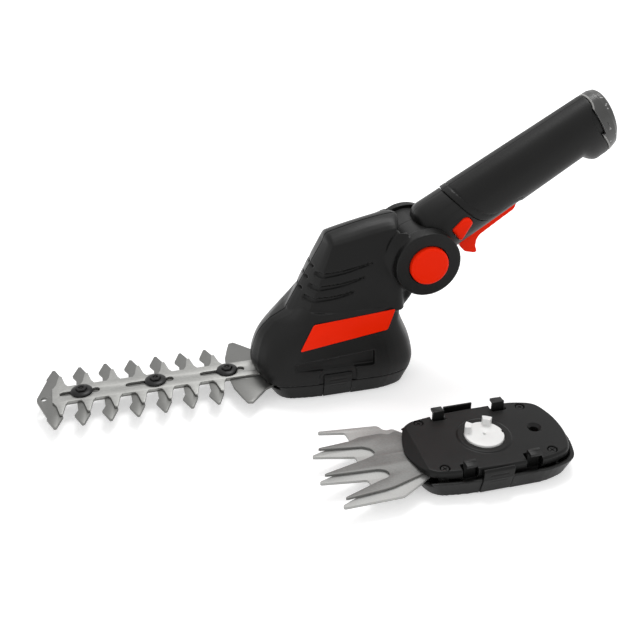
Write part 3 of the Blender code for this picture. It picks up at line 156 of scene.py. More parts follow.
VENT_RISE = 11.0
VENT_FRONT = 2.9
VENT_REAR = 0.9
NOSE_NICKS = (91.0, 83.4, 75.8)
NICK_HALF = 0.8
LABEL = ((-30.9, 41.5), (-20.6, 59.5), (37.2, 63.5), (31.2, 49.3))
LABEL_THICK = 1.0
LABEL_OFFSET = 32.4
LABEL_LEAN = 10.0
HEAD_SCREWS = ((-40.0, 38.0), (40.0, 38.0), (-19.5, 69.0), (28.0, 103.0))
SCREW_HEAD_Y = 12.0
SCREW_ROOM = 3.1
POST_RADIUS = 4.6
POST_DEPTHS = (21.0, 27.0, 16.0, 12.0)
PILOT_RADIUS = 1.55
RECESS_FRONT = ((37.0, 31.4), (37.0, 25.3), (31.6, 25.3), (31.0, 31.4))
RECESS_REAR = ((38.0, 35.5), (38.0, 24.0), (31.2, 24.0), (30.8, 35.5))
RECESS_ENDS = (-34.5, 21.5)
TAB_WAY = ((-18.0, 20.0), (-15.5, 24.5), (-9.0, 27.6), (0.5, 28.6), (6.5, 26.0), (8.5, 22.0),
           (8.5, 8.0), (-18.0, 8.0))
FAR = 45.0

# Pivot
PIVOT = (59.0, PIVOT_HEIGHT)
EAR_RADIUS = 23.0
EAR_OUTER = 30.4
EAR_OUTER_FAR = 26.0
EAR_INNER = 20.2
CHEEK_RADIUS = 28.6
EAR_BORE = 13.9
EAR_FLOOR = 24.4
EAR_FLOOR_FAR = 22.8
PIN_RADIUS = 8.0
BUTTON_PROUD = 3.2
BUTTON_BACK = 28.2
STEM_RADIUS = 3.2
COVER_RADIUS = EAR_BORE - 0.4

# Handle, in its own frame: s along it, n across it in the tool's middle plane
HANDLE_ANGLE = 31.3
RAISE = 25.0
LOWER = 40.0
WAY_RADIUS = 23.4
WAY_ABOVE = 26.0
HUB_HANDLE_RADIUS = 20.6
HUB_HANDLE_HALF = 19.7
HANDLE_CENTRE = 4.6
TAPER = 0.00105
NECK_HEIGHT = 20.4
NECK_WIDTH = 18.9
GRIP_HEIGHT = 21.1
GRIP_WIDTH = 19.6
CORE_HEIGHT = 19.0
CORE_WIDTH = 17.5
HANDLE_WALL = 2.0
CORE_END = 147.2
HEEL_START = 130.0
HEEL_DROP = 9.0
CAP_END = 160.0
# Width of the band along the cap's seam that carries a painted highlight
CAP_RIM = 0.9
CAP_MARK = ((148.4, 6.5), (151.6, 6.5), (152.6, -2.5), (149.6, -2.5))
HEEL_SHARE = ((0.0, 0.0), (3.5, 0.55), (7.5, 0.95), (13.0, 1.0), (20.0, 0.97), (25.0, 0.7))
NECK_ENDS = ((8.2, 10.0, 7.0), (8.6, 7.6, 4.8), (9.5, 5.6, 3.2), (11.0, 3.4, 1.8), (13.0, 1.5, 0.8),
             (15.5, 0.4, 0.2), (18.5, 0.0, 0.0), (84.0, 0.0, 0.0))
GRIP_EDGE = ((34.0, 30.0), (51.5, -6.5), (77.2, -10.4), (80.0, -15.0), (79.0, -34.0))
CAP_EDGE = ((148.6, 45.0), (148.9, 20.0), (143.2, 11.5), (143.4, 8.5), (147.6, -13.0), (148.0, -60.0))
TRIGGER_AXIS = (76.0, -9.8)
TRIGGER_HALF = 5.5
LOCK_SHAPE = ((26.2, 5.3), (37.0, 7.8), (40.6, 6.3), (41.3, 1.2), (27.6, -5.8))
HANDLE_HEAD_Y = 8.4
HANDLE_SCREWS = ((68.0, -4.9), (128.0, -5.0))
HANDLE_SCREW_ROOM = 2.8
HANDLE_POST = 3.6

HANDLE_PLACE = (Matrix.Translation((PIVOT[0], 0.0, PIVOT[1]))
                @ Matrix.Rotation(math.radians(-HANDLE_ANGLE), 4, "Y"))
GRASS = Matrix.Translation(GRASS_PLACE)
HERE = Matrix.Identity(4)

# Grass combs, in the grass head's frame
GRASS_FIXED = ((-60.3, 35.8), (-98.0, 39.6), (-98.4, 37.8), (-81.5, 34.0), (-80.5, 25.2),
               (-107.3, 17.2), (-107.8, 15.4), (-82.0, 9.2), (-81.6, 1.4), (-109.3, -7.8),
               (-109.3, -9.6), (-81.0, -13.5), (-79.6, -21.5), (-101.6, -31.4), (-101.2, -33.4),
               (-64.2, -32.8), (-51.5, -25.2), (-43.5, -20.0), (-41.0, -17.0), (-20.0, -17.0),
               (-20.0, 17.0), (-41.0, 17.0), (-44.0, 22.5), (-47.3, 26.6), (-50.7, 30.0),
               (-55.0, 29.6), (-57.2, 31.2), (-58.4, 34.4))
GRASS_MOVING = ((-44.0, 20.5), (-50.8, 25.4), (-55.8, 22.8), (-60.2, 25.2), (-75.5, 25.0),
                (-80.5, 22.8), (-102.6, 21.0), (-102.8, 19.9), (-75.5, 15.6), (-71.0, 12.6),
                (-69.3, 8.4), (-71.5, 5.2), (-78.5, 3.0), (-105.2, -3.8), (-105.3, -5.0),
                (-72.6, -7.6), (-68.4, -9.4), (-66.6, -13.0), (-68.8, -16.4), (-75.5, -18.2),
                (-98.8, -27.0), (-98.6, -28.2), (-74.0, -26.0), (-67.9, -25.0), (-49.0, -18.9),
                (-42.0, -14.5), (-38.0, -9.5))

# Stage, in metres and degrees
FLOOR_LEVEL = -0.0003
WORLD_LIGHT = 0.80
KEY_PLACE = (0.22, 0.42, 1.3)
KEY_AIM = (0.0, -0.03, 0.05)
KEY_SIZE = 0.5
KEY_POWER = 7.0
CAMERA_PLACE = (-0.150, -0.5312, 0.3712)
CAMERA_DOWN = 30.7
CAMERA_TURN = -14.9
CAMERA_LENS = 50.625


# Lines and outlines


def slope_at(spots, i, corners, closed):
    """The direction in which a smooth line passes one of its points, or none at a corner."""
    count = len(spots)
    i %= count
    if i in corners or (not closed and i in (0, count - 1)):
        return None
    before = spots[i] - spots[i - 1]
    after = spots[(i + 1) % count] - spots[i]
    if before.length < 1e-6 or after.length < 1e-6:
        return None
    near, far = before.length, after.length
    return (after * (near / far) + before * (far / near)) / (near + far)


def smooth_line(points, corners=(), steps=4, closed=True):
    """Points on a smooth line through the given ones. It turns sharply only at the corners."""
    spots = [Vector(point) for point in points]
    count = len(spots)
    line = []
    for i in range(count if closed else count - 1):
        here, there = spots[i], spots[(i + 1) % count]
        chord = there - here
        leave = slope_at(spots, i, corners, closed) or chord.normalized()
        arrive = slope_at(spots, i + 1, corners, closed) or chord.normalized()
        for k in range(steps):
            t = k / steps
            line.append(here * (2 * t ** 3 - 3 * t ** 2 + 1) + there * (3 * t ** 2 - 2 * t ** 3)
                        + (leave * (t ** 3 - 2 * t ** 2 + t) + arrive * (t ** 3 - t ** 2)) * chord.length)
    if not closed:
        line.append(spots[-1])
    return [tuple(point) for point in line]


def soft_corners(points, radius, steps=4):
    """An outline whose corners are rounded off."""
    spots = [Vector(point) for point in points]
    line = []
    for i, here in enumerate(spots):
        back = spots[i - 1] - here
        on = spots[(i + 1) % len(spots)] - here
        start = here + back.normalized() * min(radius, back.length * 0.45)
        end = here + on.normalized() * min(radius, on.length * 0.45)
        for k in range(steps + 1):
            t = k / steps
            line.append(tuple(start * (1 - t) ** 2 + here * 2 * t * (1 - t) + end * t ** 2))
    return line


def circle(x, y, radius, count=ROUND):
    step = 2 * math.pi / count
    return [(x + radius * math.cos(i * step), y + radius * math.sin(i * step)) for i in range(count)]


def grown(outline, by):
    """An outline moved outwards from its middle, or inwards."""
    middle = sum((Vector(point) for point in outline), Vector((0.0, 0.0))) / len(outline)
    points = []
    for point in outline:
        away = Vector(point) - middle
        points.append(tuple(middle + away * (1 + by * 1.3 / away.length)))
    return points


def level(outline, z):
    return [(x, y, z) for x, y in outline]


# Shapes in millimetres


def walled(rings):
    """A shape with walls through rings of points and a floor under them, and its rows of vertices."""
    shape = bmesh.new()
    rows = [[shape.verts.new(point) for point in ring] for ring in rings]
    for low, high in zip(rows, rows[1:]):
        for i in range(len(low)):
            j = (i + 1) % len(low)
            shape.faces.new((low[i], low[j], high[j], high[i]))
    shape.faces.new(rows[0])
    return shape, rows


def loft(rings):
    """A closed shape through rings of points."""
    shape, rows = walled(rings)
    shape.faces.new(rows[-1])
    return shape


def domed_loft(rings, lift, steps=10):
    """A closed shape whose top ring carries a dome. The ring's first point is its nose."""
    shape, rows = walled(rings)
    ring = rows[-1]
    half = len(ring) // 2
    strips = []
    for i in range(half + 1):
        near, far = ring[i], ring[-i % len(ring)]
        if near == far:
            strips.append([near] * (steps + 1))
            continue
        inner = []
        for k in range(1, steps):
            t = k / steps
            spot = near.co.lerp(far.co, t)
            spot.z += 4 * t * (1 - t) * lift(i / half)
            inner.append(shape.verts.new(spot))
        strips.append([near] + inner + [far])
    for one, other in zip(strips, strips[1:]):
        for k in range(steps):
            corners = tuple(dict.fromkeys((one[k], other[k], other[k + 1], one[k + 1])))
            if len(corners) > 2:
                shape.faces.new(corners)
    return shape


def plate(loops, low, high):
    """A flat plate between two levels: its outline, then any holes."""
    points = [point for loop in loops for point in loop]
    flat = [[Vector((x, y, 0.0)) for x, y in loop] for loop in loops]
    shape = bmesh.new()
    under = [shape.verts.new((x, y, low)) for x, y in points]
    over = [shape.verts.new((x, y, high)) for x, y in points]
    for a, b, c in tessellate_polygon(flat):
        shape.faces.new((under[c], under[b], under[a]))
        shape.faces.new((over[a], over[b], over[c]))
    start = 0
    for loop in loops:
        for i in range(len(loop)):
            a = start + i
            b = start + (i + 1) % len(loop)
            shape.faces.new((under[a], under[b], over[b], over[a]))
        start += len(loop)
    return shape


def box(low, high):
    corners = ((low[0], low[1]), (high[0], low[1]), (high[0], high[1]), (low[0], high[1]))
    return plate([corners], low[2], high[2])


def rod(x, y, radius, low, high, count=ROUND):
    return plate([circle(x, y, radius, count)], low, high)


def turned(profile, count=ROUND):
    """A turned piece about Z. Its profile of (radius, height) runs from axis to axis."""
    shape = bmesh.new()
    rows = []
    for radius, height in profile:
        if radius == 0.0:
            rows.append([shape.verts.new((0.0, 0.0, height))])
        else:
            rows.append([shape.verts.new((x, y, height)) for x, y in circle(0, 0, radius, count)])
    for low, high in zip(rows, rows[1:]):
        for i in range(count):
            j = (i + 1) % count
            corners = (low[i % len(low)], low[j % len(low)], high[j % len(high)], high[i % len(high)])
            shape.faces.new(tuple(dict.fromkeys(corners)))
    return shape


def upright(shape):
    """Swaps Y and Z, so that a shape drawn flat stands up with its thickness along Y."""
    for vert in shape.verts:
        vert.co = (vert.co.x, vert.co.z, vert.co.y)
    return shape


def mirrored(shape):
    """The same shape on the other side of the middle plane."""
    for vert in shape.verts:
        vert.co.y = -vert.co.y
    return shape


def on_side(shape, side):
    """A shape drawn for the +Y side, or its mirror image on the other."""
    return shape if side > 0 else mirrored(shape)


def moved(shape, x=0.0, y=0.0, z=0.0):
    bmesh.ops.translate(shape, verts=shape.verts, vec=(x, y, z))
    return shape


def rotated(shape, degrees, axis, centre=(0.0, 0.0, 0.0)):
    bmesh.ops.rotate(shape, verts=shape.verts, cent=centre,
                     matrix=Matrix.Rotation(math.radians(degrees), 3, axis))
    return shape


def side_plate(outline, low, high, side=1):
    """A plate drawn in X and Z on one side, between two distances from the middle plane."""
    return upright(plate([outline], *sorted((side * low, side * high))))


def side_box(side, near, far):
    """A box between two corners on one side. Their Y is a distance from the middle plane."""
    low, high = sorted((side * near[1], side * far[1]))
    return box((near[0], low, near[2]), (far[0], high, far[2]))


def across(x, z, radius, low, high, side=1, count=ROUND):
    """A rod along Y on one side, between two distances from the middle plane."""
    return moved(side_plate(circle(0, 0, radius, count), low, high, side), x, 0.0, z)


# Objects made of shapes


def block(shape, name="block"):
    """An object from a closed shape, still in millimetres, with its faces outwards."""
    shape.normal_update()
    bmesh.ops.recalc_face_normals(shape, faces=shape.faces)
    if shape.calc_volume(signed=True) < 0.0:
        bmesh.ops.reverse_faces(shape, faces=shape.faces)
    mesh = bpy.data.meshes.new(name)
    shape.to_mesh(mesh)
    shape.free()
    obj = bpy.data.objects.new(name, mesh)
    bpy.context.scene.collection.objects.link(obj)
    return obj


def bake(obj):
    """Applies an object's modifiers."""
    graph = bpy.context.evaluated_depsgraph_get()
    mesh = bpy.data.meshes.new_from_object(obj.evaluated_get(graph))
    old = obj.data
    obj.modifiers.clear()
    obj.data = mesh
    bpy.data.meshes.remove(old)
    return obj


def discard(obj):
    mesh = obj.data
    bpy.data.objects.remove(obj)
    bpy.data.meshes.remove(mesh)


def merge(target, tool, operation, keep_tool=False):
    step = target.modifiers.new("merge", "BOOLEAN")
    step.operation = operation
    step.solver = "MANIFOLD"
    step.object = tool
    bake(target)
    if not keep_tool:
        discard(tool)
    if not target.data.polygons:
        raise RuntimeError(f"a Boolean left nothing of {target.name}")
    return target


def cut(target, shape):
    return merge(target, block(shape), "DIFFERENCE")


def join(target, shape):
    return merge(target, block(shape), "UNION")


def keep(target, shape):
    return merge(target, block(shape), "INTERSECT")


def copy_of(obj):
    twin = obj.copy()
    twin.data = obj.data.copy()
    bpy.context.scene.collection.objects.link(twin)
    return twin


def eased(obj, voxel, passes=4, factor=0.5):
    """Remeshes a closed shape in small voxels and eases them, which rounds every edge."""
    step = obj.modifiers.new("voxels", "REMESH")
    step.mode = "VOXEL"
    step.voxel_size = voxel
    ease = obj.modifiers.new("ease", "SMOOTH")
    ease.factor = factor
    ease.iterations = passes
    return bake(obj)


def bevelled(obj, width, segments=2, angle=28.0):
    """Merges flat neighbours and puts a small round on every edge."""
    flat = obj.modifiers.new("flat", "DECIMATE")
    flat.decimate_type = "DISSOLVE"
    flat.angle_limit = math.radians(0.6)
    bevel = obj.modifiers.new("bevel", "BEVEL")
    bevel.width = width
    bevel.segments = segments
    bevel.limit_method = "ANGLE"
    bevel.angle_limit = math.radians(angle)
    bevel.use_clamp_overlap = True
    bevel.miter_outer = "MITER_ARC"
    return bake(obj)


def finished(obj, name, finish, body, nodes, place=HERE, crease=34.0):
    """Moves a piece's mesh to its place in metres, gives it its finish and hangs it on its body."""
    mesh = obj.data
    mesh.transform(Matrix.Scale(MM, 4) @ place)
    mesh.shade_smooth()
    mesh.set_sharp_from_angle(angle=math.radians(crease))
    mesh.materials.clear()
    mesh.materials.append(look(finish))
    obj.name = name
    mesh.name = name
    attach(obj, body)
    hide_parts(*nodes)
    return obj


def half_space(side, reach=300.0, split=SPLIT):
    """All that lies on one side of the middle plane, less half the seam."""
    low, high = sorted((side * split, side * reach))
    return box((-reach, low, -reach), (reach, high, reach))


# Finishes


def socket(sockets, name):
    return sockets[int(name) if name.isdigit() else name]


def wire(tree, nodes, links, **made):
    """Adds nodes from (key, type, settings) rows, then links from "key.output > key.input" lines."""
    for key, kind, settings in nodes:
        node = tree.nodes.new(kind)
        for name, value in settings.items():
            if isinstance(name, str) and name.startswith("."):
                setattr(node, name[1:], value)
            else:
                node.inputs[name].default_value = value
        made[key] = node
    for line in links.strip().splitlines():
        source, targets = line.strip().split(" > ")
        start, output = source.split(".")
        for target in targets.split(", "):
            end, name = target.split(".")
            tree.links.new(socket(made[start].outputs, output), socket(made[end].inputs, name))
    return made


def shaded(colour, factor):
    return tuple(min(1.0, part * factor) for part in colour[:3]) + (1.0,)


def two_tones(ramp, colour, spread, low, high):
    """Lets a ramp run from a little darker than a colour to a little lighter."""
    for end, place, factor in zip(ramp.elements, (low, high), (1.0 - spread, 1.0 + spread)):
        end.position = place
        end.color = shaded(colour, factor)


def new_look(name, **settings):
    made = bpy.data.materials.new(name)
    made.use_nodes = True
    shader = made.node_tree.nodes["Principled BSDF"]
    for label, value in settings.items():
        shader.inputs[label.replace("_", " ")].default_value = value
    return made, made.node_tree, shader


def grained(name, colour, rough, specular, grain, depth, spread, highlight_strength=0.0, edge=0.06, drift=0.06):
    """Moulded plastic or rubber: a fine eroded grain, slow changes of tone, and a painted highlight on convex
    edges.
    """
    made, tree, shader = new_look(name)
    shader.inputs["Specular IOR Level"].default_value = specular
    nodes = [("place", "ShaderNodeTexCoord", {}),
             ("grain", "ShaderNodeTexNoise", {"Scale": grain, "Detail": 3.0, "Roughness": 0.6}),
             ("pits", "ShaderNodeTexVoronoi", {"Scale": grain * 1.7}),
             ("cloud", "ShaderNodeTexNoise", {"Scale": 34.0, "Detail": 4.0, "Roughness": 0.55}),
             ("tone", "ShaderNodeValToRGB", {}),
             ("shape", "ShaderNodeNewGeometry", {}),
             # Painted highlight: pointiness finds the convex edges, which get a lighter colour mixed in
             ("edge", "ShaderNodeMapRange", {"From Min": 0.525, "From Max": 0.60, "To Min": 0.0,
                                             "To Max": highlight_strength}),
             ("rubbed", "ShaderNodeMix", {".data_type": "RGBA"}),
             ("polish", "ShaderNodeMapRange", {"From Min": 0.3, "From Max": 0.7, "To Min": rough - drift,
                                               "To Max": rough + drift}),
             ("sum", "ShaderNodeMath", {".operation": "ADD"}),
             ("bump", "ShaderNodeBump", {"Strength": 0.35, "Distance": depth})]
    made_nodes = wire(tree, nodes, """
        place.Object > grain.Vector, pits.Vector, cloud.Vector
        cloud.Fac > tone.Fac, polish.Value
        polish.Result > shader.Roughness
        shape.Pointiness > edge.Value
        edge.Result > rubbed.Factor
        tone.Color > rubbed.6
        rubbed.2 > shader.Base Color
        grain.Fac > sum.0
        pits.Distance > sum.1
        sum.Value > bump.Height
        bump.Normal > shader.Normal""", shader=shader)
    # The painted highlight's colour: the plastic's own colour made lighter, raised by the edge argument
    made_nodes["rubbed"].inputs[7].default_value = (*(min(1.0, edge + 1.15 * part) for part in colour), 1.0)
    two_tones(made_nodes["tone"].color_ramp, colour, spread, 0.32, 0.68)
    return made


def brushed(name, colour, rough, stretch, turn=0.0, spread=0.10, metal=1.0):
    """Ground steel: fine lines along the grinding, a slow cloud and faint oil marks."""
    made, tree, shader = new_look(name, Metallic=metal)
    nodes = [("place", "ShaderNodeTexCoord", {}),
             ("turned", "ShaderNodeMapping", {"Rotation": (0.0, 0.0, math.radians(turn))}),
             ("drawn", "ShaderNodeMapping", {"Scale": stretch}),
             ("lines", "ShaderNodeTexNoise", {"Scale": 1.0, "Detail": 3.0, "Roughness": 0.7}),
             ("cloud", "ShaderNodeTexNoise", {"Scale": 45.0, "Detail": 3.0}),
             ("mix", "ShaderNodeMix", {".data_type": "FLOAT"}),
             ("tone", "ShaderNodeValToRGB", {}),
             ("polish", "ShaderNodeMapRange", {"From Min": 0.25, "From Max": 0.75, "To Min": rough - 0.07,
                                               "To Max": rough + 0.08}),
             ("bump", "ShaderNodeBump", {"Strength": 0.3, "Distance": 0.00002})]
    made_nodes = wire(tree, nodes, """
        place.Object > turned.Vector, cloud.Vector
        turned.Vector > drawn.Vector
        drawn.Vector > lines.Vector
        lines.Fac > mix.2, bump.Height
        cloud.Fac > mix.3
        mix.0 > tone.Fac, polish.Value
        polish.Result > shader.Roughness
        tone.Color > shader.Base Color
        bump.Normal > shader.Normal""", shader=shader)
    made_nodes["mix"].inputs[0].default_value = 0.35
    two_tones(made_nodes["tone"].color_ramp, colour, spread, 0.35, 0.65)
    return made


def look(name):
    """The finish of that name, made the first time it is asked for."""
    if name in bpy.data.materials and bpy.data.materials[name].get("shears"):
        return bpy.data.materials[name]
    colours = bpy.context.scene.shear_colours
    finishes = {
        # A grained finish's values after its spread set its painted edge highlight: how strong, then how much
        # lighter
        "housing_black": (grained, colours.housing, 0.40, 0.20, 1500.0, 0.00007, 0.10, 0.3),
        "grip_black": (grained, colours.grip, 0.42, 0.20, 2100.0, 0.00007, 0.14),
        "orange": (grained, colours.accent, 0.34, 0.08, 1700.0, 0.00004, 0.04, 0.3),
        "cap_grey": (grained, colours.cap, 0.30, 0.45, 1700.0, 0.00006, 0.07, 1.0, 0.36),
        # Painted highlight: a lighter copy of the cap's grey for the band along its seam, where its chamfer
        # catches the light
        "cap_rim": (grained, shaded(colours.cap, 5.5)[:3], 0.34, 0.4, 1700.0, 0.00003, 0.06),
        "white_nylon": (grained, colours.nylon, 0.42, 0.5, 1200.0, 0.00006, 0.04),
        "blade_steel": (brushed, colours.bright_steel, 0.50, (500.0, 1500.0, 1500.0), 0.0, 0.16, 0.85),
        "dark_steel": (brushed, colours.dark_steel, 0.46, (300.0, 1800.0, 1800.0), 0.0, 0.10, 0.9),
        "comb_steel": (brushed, colours.comb_steel, 0.60, (900.0, 1300.0, 1300.0), 40.0, 0.14, 0.6),
        "comb_dark": (brushed, colours.comb_dark, 0.60, (900.0, 1300.0, 1300.0), 18.0, 0.18, 0.6),
        "screw_black": (brushed, (0.030, 0.030, 0.030), 0.38, (900.0, 900.0, 900.0)),
        "brass": (brushed, (0.75, 0.55, 0.25), 0.3, (700.0, 700.0, 2400.0)),
        "iron": (brushed, (0.45, 0.45, 0.47), 0.4, (600.0, 600.0, 1800.0)),
        "cell_wrap": (grained, (0.05, 0.22, 0.45), 0.35, 0.4, 900.0, 0.00003, 0.06),
        "board_green": (grained, (0.02, 0.16, 0.05), 0.35, 0.5, 700.0, 0.00003, 0.2),
    }
    maker, *values = finishes[name]
    made = maker(name, *values)
    made["shears"] = True
    return made


# Geometry Nodes


def object_tree(name, sockets):
    """A geometry tree with a mesh going in and out, an object to repeat, and named sizes."""
    tree = bpy.data.node_groups.new(name, "GeometryNodeTree")
    tree.interface.new_socket("Geometry", in_out="INPUT", socket_type="NodeSocketGeometry")
    for label, kind in sockets:
        tree.interface.new_socket(label, in_out="INPUT", socket_type=kind)
    tree.interface.new_socket("Geometry", in_out="OUTPUT", socket_type="NodeSocketGeometry")
    return tree


def scatter_tree():
    """Puts one piece at every point of the mesh that goes in, each at the given scale."""
    tree = object_tree("Piece at every point", (("Piece", "NodeSocketObject"), ("Scale", "NodeSocketFloat"),
                                                ("Finish", "NodeSocketMaterial")))
    wire(tree, [("in", "NodeGroupInput", {}), ("out", "NodeGroupOutput", {}),
                ("piece", "GeometryNodeObjectInfo", {}), ("put", "GeometryNodeInstanceOnPoints", {}),
                ("real", "GeometryNodeRealizeInstances", {}), ("finish", "GeometryNodeSetMaterial", {})], """
        in.Piece > piece.Object
        in.Geometry > put.Points
        piece.Geometry > put.Instance
        in.Scale > put.Scale
        put.Instances > real.Geometry
        real.Geometry > finish.Geometry
        in.Finish > finish.Material
        finish.Geometry > out.Geometry""")
    return tree


def toothed_tree():
    """Repeats a pair of teeth along X at a pitch and welds them to the blank that goes in."""
    tree = object_tree("Row of teeth", (("Tooth", "NodeSocketObject"), ("Teeth", "NodeSocketInt"),
                                        ("Pitch", "NodeSocketFloat"), ("First tip", "NodeSocketFloat"),
                                        ("Finish", "NodeSocketMaterial")))
    wire(tree, [("in", "NodeGroupInput", {}), ("out", "NodeGroupOutput", {}),
                ("tooth", "GeometryNodeObjectInfo", {}), ("start", "ShaderNodeCombineXYZ", {}),
                ("step", "ShaderNodeCombineXYZ", {}), ("row", "GeometryNodeMeshLine", {}),
                ("put", "GeometryNodeInstanceOnPoints", {}), ("loose", "GeometryNodeRealizeInstances", {}),
                ("weld", "GeometryNodeMeshBoolean", {".operation": "UNION", ".solver": "MANIFOLD"}),
                ("real", "GeometryNodeRealizeInstances", {}), ("finish", "GeometryNodeSetMaterial", {})], """
        in.Tooth > tooth.Object
        in.First tip > start.X
        in.Pitch > step.X
        in.Teeth > row.Count
        start.Vector > row.Start Location
        step.Vector > row.Offset
        row.Mesh > put.Points
        tooth.Geometry > put.Instance
        put.Instances > loose.Geometry
        loose.Geometry > weld.Mesh 2
        in.Geometry > weld.Mesh 2
        weld.Mesh > real.Geometry
        real.Geometry > finish.Geometry
        in.Finish > finish.Material
        finish.Geometry > out.Geometry""")
    return tree


def grown_by_tree(obj, tree, helper, **values):
    """Runs a tree on an object with its named inputs, and turns the result into a plain mesh."""
    step = obj.modifiers.new(tree.name, "NODES")
    step.node_group = tree
    for item in tree.interface.items_tree:
        key = item.name.replace(" ", "_").lower()
        if item.in_out == "INPUT" and key in values:
            step[item.identifier] = values[key]
    bake(obj)
    discard(helper)
    bpy.data.node_groups.remove(tree)
    if not obj.data.polygons:
        raise RuntimeError(f"{obj.name} came out empty")
    return obj


def at_points(piece, places, finish):
    """Copies of one piece at several places, as one mesh."""
    points = bmesh.new()
    for place in places:
        points.verts.new(place)
    mesh = bpy.data.meshes.new("places")
    points.to_mesh(mesh)
    points.free()
    obj = bpy.data.objects.new("places", mesh)
    bpy.context.scene.collection.objects.link(obj)
    return grown_by_tree(obj, scatter_tree(), piece, piece=piece, scale=1.0, finish=look(finish))


# Housing


def plan(front, rear, half, high=0.0, corners=(1, 19), steps=5):
    """The housing's outline at a level, from its reach to the front, the rear and each side."""
    side = []
    for along, low_part, high_part in PLAN:
        reach = front if along < 0 else rear
        side.append((along * reach, -half * (low_part + (high_part - low_part) * high)))
    right = [(x, -y) for x, y in reversed(side)]
    return smooth_line([(-front, 0.0)] + side + [(rear, 0.0)] + right, corners, steps)


def skirt(inset=0.0):
    rings = []
    levels = smooth_line(SKIRT_LEVELS, (4, 5), SKIRT_STEPS, closed=False)
    bottom, top = levels[0][0] - inset, levels[-1][0] - inset
    for z, front, rear, half, high in levels:
        if z == levels[0][0]:
            z = bottom
        elif z == levels[-1][0]:
            z = top
        elif z > top - 0.2:
            continue
        rings.append(level(plan(front - inset, rear - inset, half - inset, high), z))
    return loft(rings)


def neck_ring(height, inset=0.0, steps=5):
    """One ring of the upper housing at a share of its height: 0 at its foot, 1 at its sloping top."""
    foot = ((-31.5, -6.5), (-27.8, -14.0), (-23.8, -21.2), (-8.0, -NECK_HALF), (16.0, -NECK_HALF),
            (36.0, -NECK_HALF), (44.0, -25.0), (NECK_REAR - 1.0, -14.0))
    nose_x, nose_z = TOP_NOSE
    rear_x, rear_z = TOP_REAR
    top = ((nose_x + 0.6, -5.0), (nose_x + 1.6, -9.5), (nose_x + 3.6, -TOP_HALF + 0.6), (8.0, -TOP_HALF),
           (20.0, -TOP_HALF), (32.0, -TOP_HALF - 0.4), (40.0, -TOP_HALF - 1.4), (rear_x - 0.6, -8.0))
    side = []
    for (x0, y0), (x1, y1) in zip(foot, top):
        top_z = nose_z + (x1 - nose_x) / (rear_x - nose_x) * (rear_z - nose_z)
        bulge = 6.0 * height * (1 - height) * (abs(y0) / NECK_HALF)
        side.append((x0 + (x1 - x0) * height, y0 + (y1 - y0) * height - bulge,
                     NECK_LOW + (top_z - NECK_LOW) * height))
    nose = (NECK_NOSE + (nose_x - NECK_NOSE) * height, 0.0, NECK_LOW + (nose_z - NECK_LOW) * height)
    tail = (NECK_REAR + (rear_x - NECK_REAR) * height, 0.0, NECK_LOW + (rear_z - NECK_LOW) * height)
    right = [(x, -y, z) for x, y, z in reversed(side)]
    ring = smooth_line([nose] + side + [tail] + right, (1, 3, 15, 17), steps)
    middle = (nose[0] + tail[0]) / 2
    half = (tail[0] - nose[0]) / 2
    widest = max(abs(y) for _, y, _ in ring)
    return [(middle + (x - middle) * (1 - inset / half), y * (1 - inset / widest), z - inset)
            for x, y, z in ring]


def neck(inset=0.0):
    """The upper housing, or what is left of it when every wall is cut back by an inset."""
    rings = [neck_ring(k / 10, inset) for k in range(11)]
    return domed_loft(rings, lambda t: CROWN * min(1.0, 0.12 + 1.5 * t) * min(1.0, 9.0 * (1 - t))
                      + ROOF_BOW * math.sin(math.pi * t) ** 0.8)


def ear(stations, side, count=96):
    """A turned shape about the pivot's axis from (distance along Y, radius) stations."""
    return loft([[(PIVOT[0] + u, side * y, PIVOT[1] + v) for u, v in circle(0, 0, radius, count)]
                 for y, radius in stations])


def handle_way(grow, half):
    """The space between the ears for the handle's hub, and for its neck where that swings."""
    radius = WAY_RADIUS + grow
    high, low = math.radians(HANDLE_ANGLE + RAISE + 3.0), math.radians(HANDLE_ANGLE - LOWER - 3.0)
    above, below = WAY_ABOVE + grow, radius
    points = []
    for along in (90.0, 0.0):
        points.append((PIVOT[0] + along * math.cos(high) - above * math.sin(high),
                       PIVOT[1] + along * math.sin(high) + above * math.cos(high)))
    first, last = high + math.radians(105.0), low + math.radians(270.0)
    for i in range(25):
        angle = first + (last - first) * i / 24
        points.append((PIVOT[0] + radius * math.cos(angle), PIVOT[1] + radius * math.sin(angle)))
    points.append((PIVOT[0] + 90.0 * math.cos(low) + below * math.sin(low),
                   PIVOT[1] + 90.0 * math.sin(low) - below * math.cos(low)))
    return upright(plate([points], -half, half))


def groove(x_range, y_range, middle, front, rear, start):
    """A long wedge of air for a louvre, as high as given at its front and at its rear end."""
    rings = []
    for x, high in ((x_range[0], front), (x_range[1], rear)):
        rings.append([(x, y_range[0], middle - high / 2), (x, y_range[1], middle - high / 2 - 0.8),
                      (x, y_range[1], middle + high / 2), (x, y_range[0], middle + high / 2)])
    return rotated(loft(rings), -VENT_RISE, "Y", (start, 0.0, middle))


def louvres(side, depth):
    """Everything that the louvres of one side take away: nicks at the nose and long grooves."""
    pieces = [box((NECK_NOSE - 5.0, 1.4, z - NICK_HALF), (4.0, 6.0, z + NICK_HALF)) for z in NOSE_NICKS]
    for start, end, middle in VENTS:
        pieces.append(groove((start - 1.5, end + 4.0), (10.0, FAR), middle, VENT_FRONT, VENT_REAR, start))
    tool = block(on_side(pieces[0], side))
    for piece in pieces[1:]:
        join(tool, on_side(piece, side))
    return cut(tool, neck(depth))


